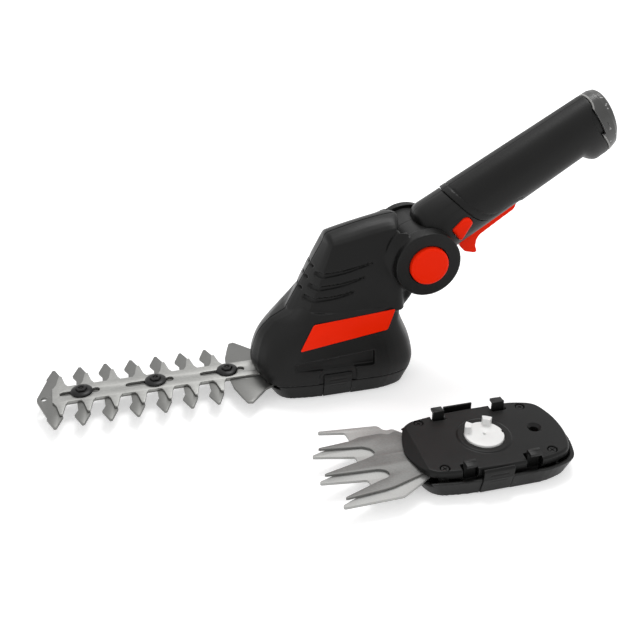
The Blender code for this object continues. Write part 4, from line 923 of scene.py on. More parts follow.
def label_slab(side, grow, depth, proud):
    """The slanted label plate's shape, or its pocket when grown."""
    middle_x = sum(x for x, _ in LABEL) / len(LABEL)
    middle_z = sum(z for _, z in LABEL) / len(LABEL)
    outline = [(x + math.copysign(grow, x - middle_x), z + math.copysign(grow, z - middle_z))
               for x, z in LABEL]
    shape = upright(plate([soft_corners(outline, 1.4)], LABEL_OFFSET - depth, LABEL_OFFSET + proud))
    rotated(shape, LABEL_LEAN, "X", (0.0, LABEL_OFFSET, middle_z - 8.0))
    return on_side(shape, side)


def finger_recess(side):
    """The dark wedge above the release tab, shallow at the front and deepest at the back."""
    return loft([[(x, side * y, z) for y, z in ring]
                 for x, ring in zip(RECESS_ENDS, (RECESS_FRONT, RECESS_REAR))])


def seam_groove():
    """The fine groove that runs round the housing where its halves meet."""
    tool = block(box((-80.0, -SEAM_HALF, 10.0), (NECK_REAR - 6.0, SEAM_HALF, 140.0)), "seam")
    cut(tool, neck(SEAM_DEPTH))
    return cut(tool, skirt(SEAM_DEPTH))


def housing_form(depth):
    """The whole housing as one solid with every outside edge rounded."""
    obj = block(skirt(), "housing")
    join(obj, neck())
    for side, outer in ((-1, EAR_OUTER), (1, EAR_OUTER_FAR)):
        cove = [(EAR_INNER - 5.0, CHEEK_RADIUS), (EAR_INNER - 1.0, CHEEK_RADIUS)]
        for k in range(9):
            t = k / 8
            cove.append((EAR_INNER + (outer - 3.4 - EAR_INNER) * t,
                         EAR_RADIUS - 0.3 + (CHEEK_RADIUS - EAR_RADIUS) * (1 - t) ** 2.2))
        cheek = block(ear(cove, side))
        cut(cheek, box((NECK_REAR - 2.0, -60.0, 0.0), (PIVOT[0] + 90.0, 60.0, 200.0)))
        cut(cheek, box((0.0, -60.0, CHEEK_TOP), (90.0, 60.0, 200.0)))
        merge(obj, cheek, "UNION")
        rim = outer - 0.5
        join(obj, ear(((EAR_INNER - 4.0, EAR_RADIUS), (rim, EAR_RADIUS), (outer, EAR_RADIUS - 0.5)), side))
    front = REAR_BRACE_START
    join(obj, loft([level(soft_corners(((front, -half), (rear, -half), (rear, half), (front, half)), 4.0), z)
                    for z, rear, half in REAR_BRACE]))
    for side in (-1, 1):
        merge(obj, louvres(side, depth), "DIFFERENCE")
        cut(obj, finger_recess(side))
        cut(obj, side_plate(smooth_line(TAB_WAY, (6, 7), 5), 33.0, 40.0, side))
    cut(obj, handle_way(0.0, EAR_INNER))
    return obj


def housing_half(form, side, name):
    """One shell: hollow, with screw posts, the pivot's bores, the label pocket and the blade's mouth."""
    obj = keep(copy_of(form), half_space(side))
    room = merge(block(skirt(SHELL_WALL)), block(neck(SHELL_WALL)), "UNION")
    cut(room, handle_way(SHELL_WALL, EAR_INNER + 0.7))
    cut(room, ear(((EAR_INNER - 1.0, EAR_RADIUS), (40.0, EAR_RADIUS)), side))
    cut(room, side_box(side, (-36.0, RECESS_BACKING, HOOK_TOP + 0.3), (25.0, FAR, 38.0)))
    merge(obj, room, "DIFFERENCE")
    core = merge(block(skirt(POST_COVER)), block(neck(POST_COVER)), "UNION")
    for (x, z), depth in zip(HEAD_SCREWS, POST_DEPTHS):
        post = block(across(x, z, POST_RADIUS, SPLIT, depth, side, 40))
        merge(obj, merge(post, core, "INTERSECT", keep_tool=True), "UNION")
        pilot = (-1.0, 14.0) if side > 0 else (-12.0, 1.0)
        cut(obj, across(x, z, PILOT_RADIUS, *pilot, count=24))
        if side > 0:
            cut(obj, across(x, z, SCREW_ROOM, SCREW_HEAD_Y, FAR, count=40))
    discard(core)
    cut(obj, across(*PIVOT, PIN_RADIUS + GAP, 10.0, 40.0, side))
    floor = EAR_FLOOR if side < 0 else EAR_FLOOR_FAR
    outer = EAR_OUTER if side < 0 else EAR_OUTER_FAR
    seat = turned(((0.0, floor), (EAR_BORE, floor), (EAR_BORE, outer - 0.5), (EAR_BORE + 0.5, outer),
                   (EAR_BORE + 0.5, outer + 5.0), (0.0, outer + 5.0)), 128)
    cut(obj, moved(on_side(upright(seat), side), PIVOT[0], 0.0, PIVOT[1]))
    cut(obj, label_slab(side, GAP, LABEL_THICK + GAP, 5.0))
    play = 0.4
    cut(obj, side_box(side, (LATCH_TAB[0] - play, 29.9, 5.0), (LATCH_TAB[1] + play, 40.0, LATCH_TOP + play)))
    cut(obj, box((-80.0, -28.0, 5.0), (-MOUTH_BACK, 28.0, BLADE_TOP + 0.7)))
    return finished(obj, name, "housing_black", "housing",
                    ["head_shell_left" if side < 0 else "head_shell_right"])


# Handle, in its own frame


def slimmer(s):
    return 1.0 - TAPER * max(0.0, s - 16.0)


def oval(s, high, wide, count=72):
    """A ring across the handle, a little squarer than an ellipse. It gets slimmer to its end."""
    high, wide = high * slimmer(s), wide * slimmer(s)
    points = []
    for i in range(count):
        angle = 2 * math.pi * i / count
        along = wide * math.copysign(abs(math.cos(angle)) ** 0.94, math.cos(angle))
        up = high * math.copysign(abs(math.sin(angle)) ** 0.94, math.sin(angle))
        points.append((s, along, HANDLE_CENTRE + up))
    return points


def handle_body(high, wide, start, end, count=72):
    return loft([oval(start, high, wide, count), oval(end, high, wide, count)])


def grip_edge(shift, ends=1.0):
    """The grip's front edge as a smooth line, moved back by a shift."""
    line = smooth_line(GRIP_EDGE, (), 8, closed=False)
    return [(s + shift * (1.0 + (ends - 1.0) * k / (len(line) - 1)), n + shift * 0.6)
            for k, (s, n) in enumerate(line)]


def cap_edge(shift):
    return [(s - shift, n) for s, n in smooth_line(CAP_EDGE, (), 6, closed=False)]


def cap_seam(n):
    """How far along the handle the end cap begins, at a height across it."""
    line = cap_edge(0.0)
    for (s0, n0), (s1, n1) in zip(line, line[1:]):
        if n1 <= n <= n0:
            return s0 + (s1 - s0) * (n0 - n) / (n0 - n1)
    return CAP_END


def grip_region(shift):
    """The space that the soft grip may fill, between its front edge and the end cap."""
    edge = grip_edge(shift)
    outline = [(edge[0][0] - 5.0, 45.0)] + edge + [(60.0, -60.0)] + cap_edge(shift)[::-1]
    return side_plate(outline, -60.0, 60.0)


def heeled(ring, drop):
    """The ring with its underside drawn down, as at the handle's heel."""
    points = []
    for s, y, n in ring:
        low = max(0.0, (HANDLE_CENTRE - n) / (GRIP_HEIGHT * slimmer(s)))
        points.append((s, y, n - drop * low * low))
    return points


def heel_rings(shrink=0.0):
    """Rings over the handle's heel, each with the share of the heel's drop that it takes."""
    return [heeled(oval(HEEL_START + step, GRIP_HEIGHT - shrink, GRIP_WIDTH - shrink), HEEL_DROP * part)
            for step, part in smooth_line(HEEL_SHARE, (0,), 3, closed=False)]


def handle_shells():
    """Both hard halves of the handle: pivot disc, bare neck, and the core under the grip."""
    form = block(loft([oval(s, NECK_HEIGHT - less, NECK_WIDTH - thin) for s, less, thin in NECK_ENDS]))
    cut(form, grip_region(-GAP))
    join(form, across(0.0, 0.0, HUB_HANDLE_RADIUS, -HUB_HANDLE_HALF, HUB_HANDLE_HALF, count=96))
    cut(form, across(0.0, 0.0, PIN_RADIUS + GAP, -30.0, 30.0))
    join(form, handle_body(CORE_HEIGHT, CORE_WIDTH, 30.0, CORE_END))
    cut(form, handle_body(CORE_HEIGHT - HANDLE_WALL, CORE_WIDTH - HANDLE_WALL, 16.6, CORE_END + 5.0))
    half = TRIGGER_HALF + 0.47
    cut(form, box((24.5, -half, -40.0), (TRIGGER_AXIS[0] + 4.1, half, -6.2)))
    for side, name in ((-1, "left"), (1, "right")):
        obj = keep(copy_of(form), half_space(side))
        join(obj, across(*TRIGGER_AXIS, 2.0, SPLIT, TRIGGER_HALF + 3.5, side, 24))
        for s, n in HANDLE_SCREWS:
            join(obj, across(s, n, HANDLE_POST, SPLIT, CORE_WIDTH * slimmer(s) * 0.58, side, 32))
            pilot = (-9.0, 1.0) if side < 0 else (-1.0, 30.0)
            cut(obj, across(s, n, PILOT_RADIUS, *pilot, count=24))
            if side > 0:
                cut(obj, across(s, n, HANDLE_SCREW_ROOM, HANDLE_HEAD_Y, 30.0, count=32))
        if side < 0:
            cut(obj, side_plate(soft_corners(grown(LOCK_SHAPE, GAP + 0.1), 2.0), -30.0, -10.0))
        finished(obj, f"neck_shell_{name}", "housing_black", "handle", [f"handle_shell_{name}"],
                 place=HANDLE_PLACE)
    discard(form)


def grips():
    """Both halves of the soft grip, with the lip along the front edge and the heel at the back."""
    form = block(loft([oval(28.0, GRIP_HEIGHT, GRIP_WIDTH)] + heel_rings()))
    keep(form, grip_region(GAP))
    outline = grip_edge(4.2, 0.35) + grip_edge(5.2, 0.35)[::-1]
    depth = 0.8
    ring = cut(block(side_plate(outline, -60.0, 60.0)),
               handle_body(GRIP_HEIGHT - depth, GRIP_WIDTH - depth, 20.0, 120.0))
    merge(form, ring, "DIFFERENCE")
    eased(form, 0.5, 5)
    cut(form, handle_body(CORE_HEIGHT + GAP, CORE_WIDTH + GAP, 20.0, CAP_END + 10.0))
    for side, name in ((-1, "left"), (1, "right")):
        obj = keep(copy_of(form), half_space(side))
        if side > 0:
            for s, n in HANDLE_SCREWS:
                cut(obj, across(s, n, HANDLE_SCREW_ROOM, HANDLE_HEAD_Y, 30.0, count=32))
        finished(obj, f"soft_grip_{name}", "grip_black", "handle", [f"grip_{name}"], place=HANDLE_PLACE)
    discard(form)


def cap_rings(less):
    """Rings over the end cap, from under the grip to its rounded end."""
    rings = heel_rings(less)[6:]
    for s, shrink, drop, back in ((155.0, 0.2, 0.6, 0.0), (CAP_END - 1.6, 1.5, 0.5, 1.6),
                                  (CAP_END - 0.5, 3.1, 0.42, 2.2), (CAP_END, 5.4, 0.3, 2.4)):
        ring = heeled(oval(s, GRIP_HEIGHT - shrink - less, GRIP_WIDTH - shrink - less), HEEL_DROP * drop)
        rings.append([(s - back * min(1.0, max(0.0, 0.5 - (n - HANDLE_CENTRE) / 30.0)), y, n)
                      for s, y, n in ring])
    return rings


def on_cap_rim(face):
    """Whether a face of the end cap lies on the band along its seam that carries a painted highlight."""
    s, y, n = face.center
    return s < cap_seam(n) + GAP + CAP_RIM and math.hypot(y, n - HANDLE_CENTRE) > CORE_WIDTH


def end_cap():
    obj = block(loft(cap_rings(0.0)))
    cut(obj, grip_region(-GAP))
    eased(obj, 0.42, 3)
    cut(obj, handle_body(CORE_HEIGHT + GAP, CORE_WIDTH + GAP, 130.0, CORE_END + GAP))
    inner = HANDLE_WALL + GAP
    lip = block(handle_body(CORE_HEIGHT - inner, CORE_WIDTH - inner, CORE_END - 4.0, CORE_END + 4.0))
    inner += 1.6
    merge(obj, lip, "UNION")
    cut(obj, handle_body(CORE_HEIGHT - inner, CORE_WIDTH - inner, CORE_END - 9.0, CORE_END + 2.6))
    cut(obj, box((CORE_END - 9.0, -25.0, -1.2), (CORE_END + 0.6, 25.0, 40.0)))
    slot = soft_corners(((-3.2, -9.2), (3.2, -9.2), (3.2, -2.8), (-3.2, -2.8)), 1.0)
    way = plate([slot], CORE_END - 5.0, CAP_END + 9.0)
    for vert in way.verts:
        vert.co = (vert.co.z, vert.co.x, vert.co.y)
    cut(obj, way)
    cut(obj, side_plate(soft_corners(CAP_MARK, 1.0), -30.0, 0.5 - GRIP_WIDTH * slimmer(CAP_MARK[0][0])))
    rim_highlight_faces = [face.index for face in obj.data.polygons if on_cap_rim(face)]
    finished(obj, "rear_cap", "cap_grey", "handle", ["end_cap"], place=HANDLE_PLACE)
    # Painted highlight: the band's faces take the lighter copy of the cap's grey
    obj.data.materials.append(look("cap_rim"))
    for index in rim_highlight_faces:
        obj.data.polygons[index].material_index = 1


def trigger():
    """The trigger: a hooked front, a long thin paddle, and an eye for its pivot at the back."""
    s, n = TRIGGER_AXIS
    front = ((28.0, -11.5), (27.2, -20.0), (28.2, -24.4), (33.8, -30.0), (35.6, -30.0), (36.6, -25.2),
             (39.5, -21.4), (43.0, -19.5), (60.0, -18.4))
    eye = ((s - 4.4, -17.8), (s - 2.2, -16.8), (s - 1.0, -15.4), (s + 2.2, n - 2.8), (s + 3.6, n),
           (s + 2.2, n + 2.8), (s - 2.2, n + 2.8), (s - 5.0, n - 1.7), (44.0, -11.5))
    obj = block(side_plate(soft_corners(front + eye, 1.2, 3), -TRIGGER_HALF, TRIGGER_HALF))
    eased(obj, 0.3, 4)
    cut(obj, across(s, n, 2.3, -9.0, 9.0, count=32))
    finished(obj, "trigger_lever", "orange", "trigger", ["trigger"], place=HANDLE_PLACE)


def lock_off():
    """The lock-off slider, with a rounded face that stands a little proud of the neck."""
    outer = NECK_WIDTH + 1.6
    rings = []
    for inward, step in ((1.9, 0.0), (1.15, 0.12), (0.55, 0.45), (0.15, 0.95), (0.0, 1.6), (0.0, 7.0)):
        rings.append([(s, -outer + step, n) for s, n in soft_corners(grown(LOCK_SHAPE, -inward), 1.8)])
    finished(block(loft(rings)), "thumb_slider", "orange", "lock_off", ["lock_off_button"],
             place=HANDLE_PLACE)


# Pivot


def release_button():
    outer = EAR_OUTER + BUTTON_PROUD
    radius = COVER_RADIUS
    profile = [(0.0, outer), (6.0, outer - 0.05), (radius - 2.6, outer - 0.2)]
    for k in range(1, 7):
        angle = math.radians(15.0 * k)
        profile.append((radius - 2.0 + 2.0 * math.sin(angle), outer - 2.2 + 2.0 * math.cos(angle)))
    profile += [(radius, BUTTON_BACK), (STEM_RADIUS, BUTTON_BACK), (STEM_RADIUS, 6.0), (0.0, 6.0)]
    button = moved(mirrored(upright(turned(profile, 128))), PIVOT[0], 0.0, PIVOT[1])
    finished(block(button), "release_button", "orange", "pivot_button", ["pivot_button"])


def pivot_cover():
    radius = COVER_RADIUS
    face = EAR_OUTER_FAR + 0.3
    profile = ((0.0, EAR_FLOOR_FAR + GAP), (radius, EAR_FLOOR_FAR + GAP), (radius, face - 0.9),
               (radius - 0.3, face - 0.3), (radius - 0.9, face), (9.0, face), (8.4, face - 0.7), (7.8, face),
               (0.0, face))
    cap = block(moved(upright(turned(profile, 128)), PIVOT[0], 0.0, PIVOT[1]))
    join(cap, across(*PIVOT, STEM_RADIUS, 12.0, EAR_FLOOR_FAR + 1.0, count=32))
    finished(cap, "pivot_cover", "housing_black", "housing", ["pivot_cap"])


# Cutting heads


def cover_screw_places():
    return [(x, y) for x in (-COVER_SCREW_X, COVER_SCREW_X) for y in (-COVER_SCREW_Y, COVER_SCREW_Y)]


def tray_form(inset, low, high):
    """A tray's outside shape, or the room in it when every wall is cut back by an inset."""
    floor = plan(HALF_LENGTH - TRAY_UNDERCUT - inset, HALF_LENGTH - TRAY_REAR_DRAFT - inset,
                 HALF_WIDTH - TRAY_DRAFT - inset, corners=())
    rim = plan(HALF_LENGTH - inset, HALF_LENGTH - inset, HALF_WIDTH - inset, corners=())
    return loft([level(floor, low), level(rim, high)])


def locating_holes():
    """The two holes by which a blade or a comb sits on its tray's pins."""
    pin_x, pin_y, pin_radius = LOCATING_PIN
    return [circle(pin_x, y, pin_radius + GAP, 32) for y in (-pin_y, pin_y)]


def numbered(name, count):
    """The names of like nodes, which end in a number from 1."""
    return [f"{name}_{k}" for k in range(1, count + 1)]


def tray(name, node, body, place, comb):
    """The bottom tray of a cutting head, with posts, ribs and room for the two latches."""
    obj = block(tray_form(0.0, 0.0, TRAY_HEIGHT))
    cut(obj, tray_form(TRAY_WALL, TRAY_FLOOR, TRAY_HEIGHT + 1.0))
    cut(obj, box((-HALF_LENGTH - 5.0, -MOUTH_HALF, BLADE_LEVEL - GAP),
                 (-MOUTH_BACK, MOUTH_HALF, TRAY_HEIGHT + 1.0)))
    eased(obj, 0.6, 2)
    sink = TRAY_FLOOR - 0.5
    for x, y in cover_screw_places():
        join(obj, rod(x, y, COVER_POST, sink, COVER_LOW - GAP, 24))
        cut(obj, rod(x, y, COVER_PILOT, 4.0, COVER_LOW + 1.0, 24))
    for x in TRAY_RIBS:
        join(obj, box((x, -17.0, sink), (x + 3.0, 17.0, BLADE_LEVEL - GAP)))
    pin_x, pin_y, pin_radius = LOCATING_PIN
    for y in (-pin_y, pin_y):
        join(obj, rod(pin_x, y, pin_radius, sink, COVER_LOW - GAP, 24))
    if comb:
        join(obj, rod(*COMB_PIVOT, COMB_POST, sink, BLADE_LEVEL - GAP, 32))
        cut(obj, rod(*COMB_PIVOT, COMB_PIN + GAP, TRAY_FLOOR, BLADE_LEVEL + 1.0, 32))
    for side in (-1, 1):
        cut(obj, side_box(side, (LATCH_TAB[0] - GAP, HALF_WIDTH - TRAY_DRAFT - 5.0, -1.0),
                          (LATCH_TAB[1] + GAP, HALF_WIDTH + 5.0, TRAY_HEIGHT + 1.0)))
    finished(obj, name, "housing_black", body, [node], place=place)


def cover(name, node, body, place, proud_ring):
    """The top plate of a cutting head, with its sloping nose, hub bore, hook pockets and screw seats."""
    reach = HALF_LENGTH - COVER_INSET
    low = plan(reach, reach, HALF_WIDTH - COVER_INSET, corners=())
    high = plan(reach - 1.0, reach - 1.0, HALF_WIDTH - COVER_INSET - 1.0, corners=())
    obj = block(loft([level(low, COVER_LOW), level(low, COVER_TOP - 1.2), level(high, COVER_TOP)]))
    slope = loft([[(-45.0, y, COVER_TOP), (-60.0, y, COVER_TOP - 6.4), (-60.0, y, COVER_TOP + 9.0),
                   (-45.0, y, COVER_TOP + 9.0)] for y in (-40.0, 40.0)])
    cut(obj, slope)
    outer, inner = (plan(reach - less, reach - less, HALF_WIDTH - COVER_INSET - less, corners=())
                    for less in (0.0, TRAY_WALL))
    rim = cut(block(plate([outer, inner], TRAY_HEIGHT + GAP, COVER_LOW + 1.0)),
              box((-HALF_LENGTH, -MOUTH_HALF, 0.0), (-MOUTH_BACK + 2.0, MOUTH_HALF, COVER_LOW - 0.01)))
    merge(obj, rim, "UNION")
    if proud_ring:
        join(obj, rod(0.0, 0.0, 17.0, COVER_TOP - 1.0, COVER_TOP + 0.7, 96))
    for side in (-1, 1):
        for start, end in LATCH_HOOKS:
            cut(obj, side_box(side, (start - 0.9, 22.4, COVER_LOW - 1.0),
                              (end + 0.9, HALF_WIDTH + 2.0, COVER_TOP + 1.0)))
    eased(obj, 0.5, 2)
    flange, bore, shoulder = HUB_RADIUS + HUB_FLANGE + GAP, HUB_RADIUS + GAP, 17.3
    cut(obj, turned(((0.0, COVER_LOW - 1.0), (flange, COVER_LOW - 1.0), (flange, shoulder), (bore, shoulder),
                     (bore, COVER_TOP + 0.2), (bore + 0.7, COVER_TOP + 1.2), (0.0, COVER_TOP + 1.2)), 96))
    x, y, radius = LOCATING_HOLE
    cut(obj, moved(turned(((0.0, COVER_LOW - 1.0), (radius, COVER_LOW - 1.0), (radius, COVER_TOP - 1.8),
                           (radius + 2.2, COVER_TOP + 0.4), (0.0, COVER_TOP + 0.4)), 48), x, y))
    for side in (-1, 1):
        for x in (-COVER_SCREW_X, COVER_SCREW_X):
            seat = turned(((0.0, COVER_LOW - 1.0), (1.6, COVER_LOW - 1.0), (1.6, COVER_TOP - 2.2),
                           (3.1, COVER_TOP - 2.2), (3.1, COVER_TOP - 0.4), (3.9, COVER_TOP + 0.4),
                           (0.0, COVER_TOP + 0.4)), 40)
            cut(obj, moved(seat, x, side * COVER_SCREW_Y))
    finished(obj, name, "housing_black", body, [node], place=place)


def latch(name, node, body, place, side):
    """One side's release latch: the outside tab, a bar inside the tray, and two hooks."""
    bottom = HALF_WIDTH - TRAY_DRAFT + 0.4
    top = HALF_WIDTH + 0.9
    inner = HALF_WIDTH - 1.1
    section = ((bottom, 0.7), (HALF_WIDTH + 0.4, TRAY_HEIGHT), (top, LATCH_TOP - 1.5), (top - 0.8, LATCH_TOP),
               (inner, LATCH_TOP), (inner, TRAY_HEIGHT), (bottom - 2.4, 0.7))
    obj = block(loft([[(x, side * y, z) for y, z in section] for x in LATCH_TAB]))
    for z in LATCH_RIBS:
        start, end = LATCH_TAB[0] + 4.0, LATCH_TAB[1] - 4.0
        rib = soft_corners(((start, z - 0.5), (end, z - 0.5), (end, z + 0.5), (start, z + 0.5)), 0.5)
        cut(obj, side_plate(rib, HALF_WIDTH - 0.2, HALF_WIDTH + 4.0, side))
    eased(obj, 0.4, 3)
    join(obj, side_box(side, (LATCH_TAB[0] + 0.8, 26.6, 7.0), (LATCH_TAB[1] - 0.8, HALF_WIDTH - 1.9, 10.4)))
    join(obj, side_box(side, (LATCH_HOOKS[0][0], 24.8, 6.4), (LATCH_HOOKS[1][1], 27.0, 11.0)))
    for start, end in LATCH_HOOKS:
        hook = block(side_box(side, (start + 0.2, 24.9, 10.0), (end - 0.2, 26.9, HOOK_TOP)))
        join(hook, side_box(side, (start + 0.4, 26.3, HOOK_TOP - 2.0), (end - 0.4, 30.4, HOOK_TOP - 0.2)))
        merge(obj, bevelled(hook, 0.3), "UNION")
    finished(obj, name, "housing_black", body, [node], place=place)


def dog_outline(middle, inner, outer, half_angle, steps=10):
    points = []
    for radius, first, last in ((inner, -1, 1), (outer, 1, -1)):
        for k in range(steps + 1):
            angle = math.radians(middle + (first + (last - first) * k / steps) * half_angle)
            points.append((radius * math.cos(angle), radius * math.sin(angle)))
    return points


def drive_hub(name, node, body, place, pin_angle):
    """The nylon hub: a flanged disc with two driving dogs on top and the crank pin below."""
    flange_low = BLADE_TOP + 2.1
    profile = ((0.0, flange_low), (HUB_RADIUS + HUB_FLANGE, flange_low),
               (HUB_RADIUS + HUB_FLANGE, flange_low + 1.4), (HUB_RADIUS, flange_low + 1.4),
               (HUB_RADIUS, HUB_TOP - 0.8), (HUB_RADIUS - 0.25, HUB_TOP - 0.25), (HUB_RADIUS - 0.8, HUB_TOP),
               (1.5, HUB_TOP), (1.1, HUB_TOP - 0.2), (0.9, HUB_TOP - 1.6), (0.0, HUB_TOP - 1.8))
    obj = block(turned(profile, 96))
    turn = math.radians(pin_angle)
    pin_x, pin_y = CRANK * math.cos(turn), CRANK * math.sin(turn)
    join(obj, rod(pin_x, pin_y, CRANK_PIN, BLADE_TOP + GAP, flange_low + 0.5, 32))
    for middle in DOG_ANGLES:
        outline = dog_outline(middle, HUB_RADIUS - 4.2, HUB_RADIUS - 0.1, DOG_HALF_ANGLE)
        join(obj, plate([soft_corners(outline, 0.3, 2)], HUB_TOP - 1.0, DOG_TOP))
    nick = dog_outline(-2.0, HUB_RADIUS - 1.2, HUB_RADIUS + 3.0, 7.0)
    cut(obj, plate([nick], HUB_TOP - 1.6, HUB_TOP + 1.0))
    finished(obj, name, "white_nylon", body, [node], place=place)


def slot_outline(start, end, half, knob):
    """A guide slot: a narrow way with a rounded wider end."""
    points = [(start + half, -half), (end - knob - 1.0, -half)]
    points += [(end - knob + knob * math.cos(a), knob * math.sin(a))
               for a in (math.radians(d) for d in range(-120, 121, 20))]
    points += [(end - knob - 1.0, half), (start + half, half), (start + 0.3, half * 0.6), (start, 0.0),
               (start + 0.3, -half * 0.6)]
    return points


def both_sides(half_outline, low, high):
    """Two plates, one on each side of the middle plane, as one shape."""
    shape = plate([half_outline], low, high)
    other = plate([[(x, -y) for x, y in half_outline]], low, high)
    mesh = bpy.data.meshes.new("other side")
    other.to_mesh(mesh)
    other.free()
    shape.from_mesh(mesh)
    bpy.data.meshes.remove(mesh)
    return shape


def full_outline(half):
    """A blade's outline from its points on one side of the middle line."""
    return half + [(x, -y) for x, y in reversed(half)]


def toothed(blank, tooth, low, high, first_tip, sizes, finish):
    """A blade's blank with its pairs of teeth welded on."""
    pair = block(both_sides(tooth, low, high))
    return grown_by_tree(blank, toothed_tree(), pair, tooth=pair, teeth=sizes.teeth, pitch=sizes.pitch / MM,
                         first_tip=first_tip, finish=look(finish))


def fixed_blade(sizes):
    """The fixed blade: a strip with a pointed nose and wide wings, and spearhead teeth in pairs."""
    tooth = [(-2.9, -6.0), (-2.9, -14.0), (-2.7, -18.4), (-5.2, -23.6), (-0.8, -TIP_HALF), (0.8, -TIP_HALF),
             (5.4, -23.0), (3.4, -18.0), (3.4, -14.0), (4.6, -6.0)]
    last = FIRST_TIP + sizes.pitch / MM * (sizes.teeth - 1)
    half = [(NOSE_X, -1.5), (FIRST_TIP - 0.8, -TIP_HALF), (FIRST_TIP + 0.8, -TIP_HALF),
            (FIRST_TIP + 3.0, -23.0), (FIRST_TIP + 2.0, -8.0), (last + 12.1, -8.0), (-76.4, -9.0),
            (-75.6, -18.5), (-72.0, -31.0), (-69.5, -38.2), (-66.0, -39.0), (-60.5, -33.0), (-54.0, -25.7),
            (-46.0, -22.0), (-43.0, -17.0), (-20.0, -17.0)]
    holes = [circle(x, 0.0, GUIDE_BOSS + GAP, 32) for x in GUIDE_X]
    holes.append(circle(NOSE_X + 4.6, 0.0, 2.1, 32))
    holes += locating_holes()
    low, high = BLADE_LEVEL, BLADE_LEVEL + FIXED_BLADE
    obj = block(plate([full_outline(half)] + holes, low, high))
    toothed(obj, tooth, low, high, FIRST_TIP, sizes, "dark_steel")
    bevelled(obj, 0.22)
    finished(obj, "blade_fixed", "dark_steel", "housing", ["shrub_fixed_blade"], crease=30.0)


def sliding_blade(sizes):
    """The sliding blade: a strip with trapezoid teeth, guide slots and a yoke for the crank."""
    tooth = [(-4.6, -7.0), (-4.6, -STRIP_HALF), (-2.9, -12.5), (-0.9, -MOVING_TIP_HALF),
             (0.9, -MOVING_TIP_HALF), (3.1, -12.5), (4.9, -STRIP_HALF), (4.9, -7.0)]
    half = [(FIRST_TIP - 1.0, -4.0), (FIRST_TIP - 1.0, -STRIP_HALF + 1.0), (FIRST_TIP + 1.0, -STRIP_HALF),
            (-20.0, -STRIP_HALF), (-13.0, -11.0), (10.5, -11.0)]
    holes = [slot_outline(start, end, GUIDE_BOSS + GAP, GUIDE_BOSS + 0.8) for start, end in SLOTS]
    reach = CRANK_PIN + GAP
    yoke = CRANK + CRANK_PIN + GAP
    low, high = CRANK - reach, CRANK + reach
    holes.append([(low, -yoke), (high, -yoke), (high, yoke), (low, yoke)])
    obj = block(plate([full_outline(half)] + holes, MOVING_LEVEL, BLADE_TOP))
    toothed(obj, tooth, MOVING_LEVEL, BLADE_TOP, FIRST_TIP + REST_OFFSET, sizes, "blade_steel")
    bevelled(obj, 0.18)
    finished(obj, "blade_sliding", "blade_steel", "shrub_blade", ["shrub_moving_blade"], crease=30.0)


def guide_screws():
    """The screws that guide the sliding blade: a domed washer under a hexagon head."""
    under, top = BLADE_LEVEL - GAP, BLADE_TOP + GAP
    profile = ((0.0, under - 0.9), (3.4, under - 0.9), (3.6, under - 0.7), (3.6, under), (GUIDE_BOSS, under),
               (GUIDE_BOSS, top), (7.2, top), (7.5, top + 0.3), (7.4, top + 0.8), (6.6, top + 1.5),
               (5.0, top + 1.8), (4.5, top + 1.9))
    dome = block(turned(profile + ((0.0, top + 1.9),), 64))
    hexagon = [[(radius * math.cos(math.radians(60 * k)), radius * math.sin(math.radians(60 * k)), z)
                for k in range(6)] for radius, z in ((4.0, top + 1.0), (4.0, top + 2.7), (3.5, top + 3.2))]
    join(dome, loft(hexagon))
    cut(dome, turned(((0.0, top + 2.0), (1.5, top + 2.4), (1.9, top + 3.4), (0.0, top + 3.4)), 32))
    obj = at_points(dome, [(x, 0.0, 0.0) for x in GUIDE_X], "screw_black")
    finished(obj, "blade_guides", "screw_black", "housing", numbered("shrub_guide", 3))


def cross_screw(shank_low, shank_radius, head_low, head_radius, head_high):
    """A screw that stands on Z: a shank, a pan head and a cross recess."""
    profile = ((0.0, shank_low), (shank_radius, shank_low), (shank_radius, head_low), (head_radius, head_low),
               (head_radius, head_high - 0.4), (head_radius - 0.4, head_high), (0.0, head_high))
    obj = block(turned(profile, 32))
    for turn in (0.0, 90.0):
        arm = box((-head_radius * 0.62, -0.28, head_high - 0.7), (head_radius * 0.62, 0.28, head_high + 1.0))
        cut(obj, rotated(arm, turn + 20.0, "Z"))
    return obj


def cover_screws():
    screw = cross_screw(6.0, 1.3, COVER_TOP - 1.9, 2.8, COVER_TOP - 0.6)
    obj = at_points(screw, [(x, y, 0.0) for x, y in cover_screw_places()], "screw_black")
    finished(obj, "cover_screws", "screw_black", "grass_cassette", numbered("grass_cover_screw", 4),
             place=GRASS)


def side_screws(name, body, nodes, places, place, depth, head_y, radius, head):
    """Screws that go in along Y from the far side, with heads of a radius and a thickness."""
    screw = cross_screw(-depth, 1.25, head_y, radius, head_y + head)
    upright_mesh = bmesh.new()
    upright_mesh.from_mesh(screw.data)
    upright(upright_mesh)
    bmesh.ops.recalc_face_normals(upright_mesh, faces=upright_mesh.faces)
    upright_mesh.to_mesh(screw.data)
    upright_mesh.free()
    obj = at_points(screw, [(x, 0.0, z) for x, z in places], "screw_black")
    finished(obj, name, "screw_black", body, nodes, place=place)


def comb_point(distance, aside):
    """A point in the swinging comb's own direction, which runs from its pivot to the crank."""
    x = COMB_PIVOT[0] + distance * math.cos(COMB_REST) + aside * math.sin(COMB_REST)
    return x, COMB_PIVOT[1] - distance * math.sin(COMB_REST) + aside * math.cos(COMB_REST)


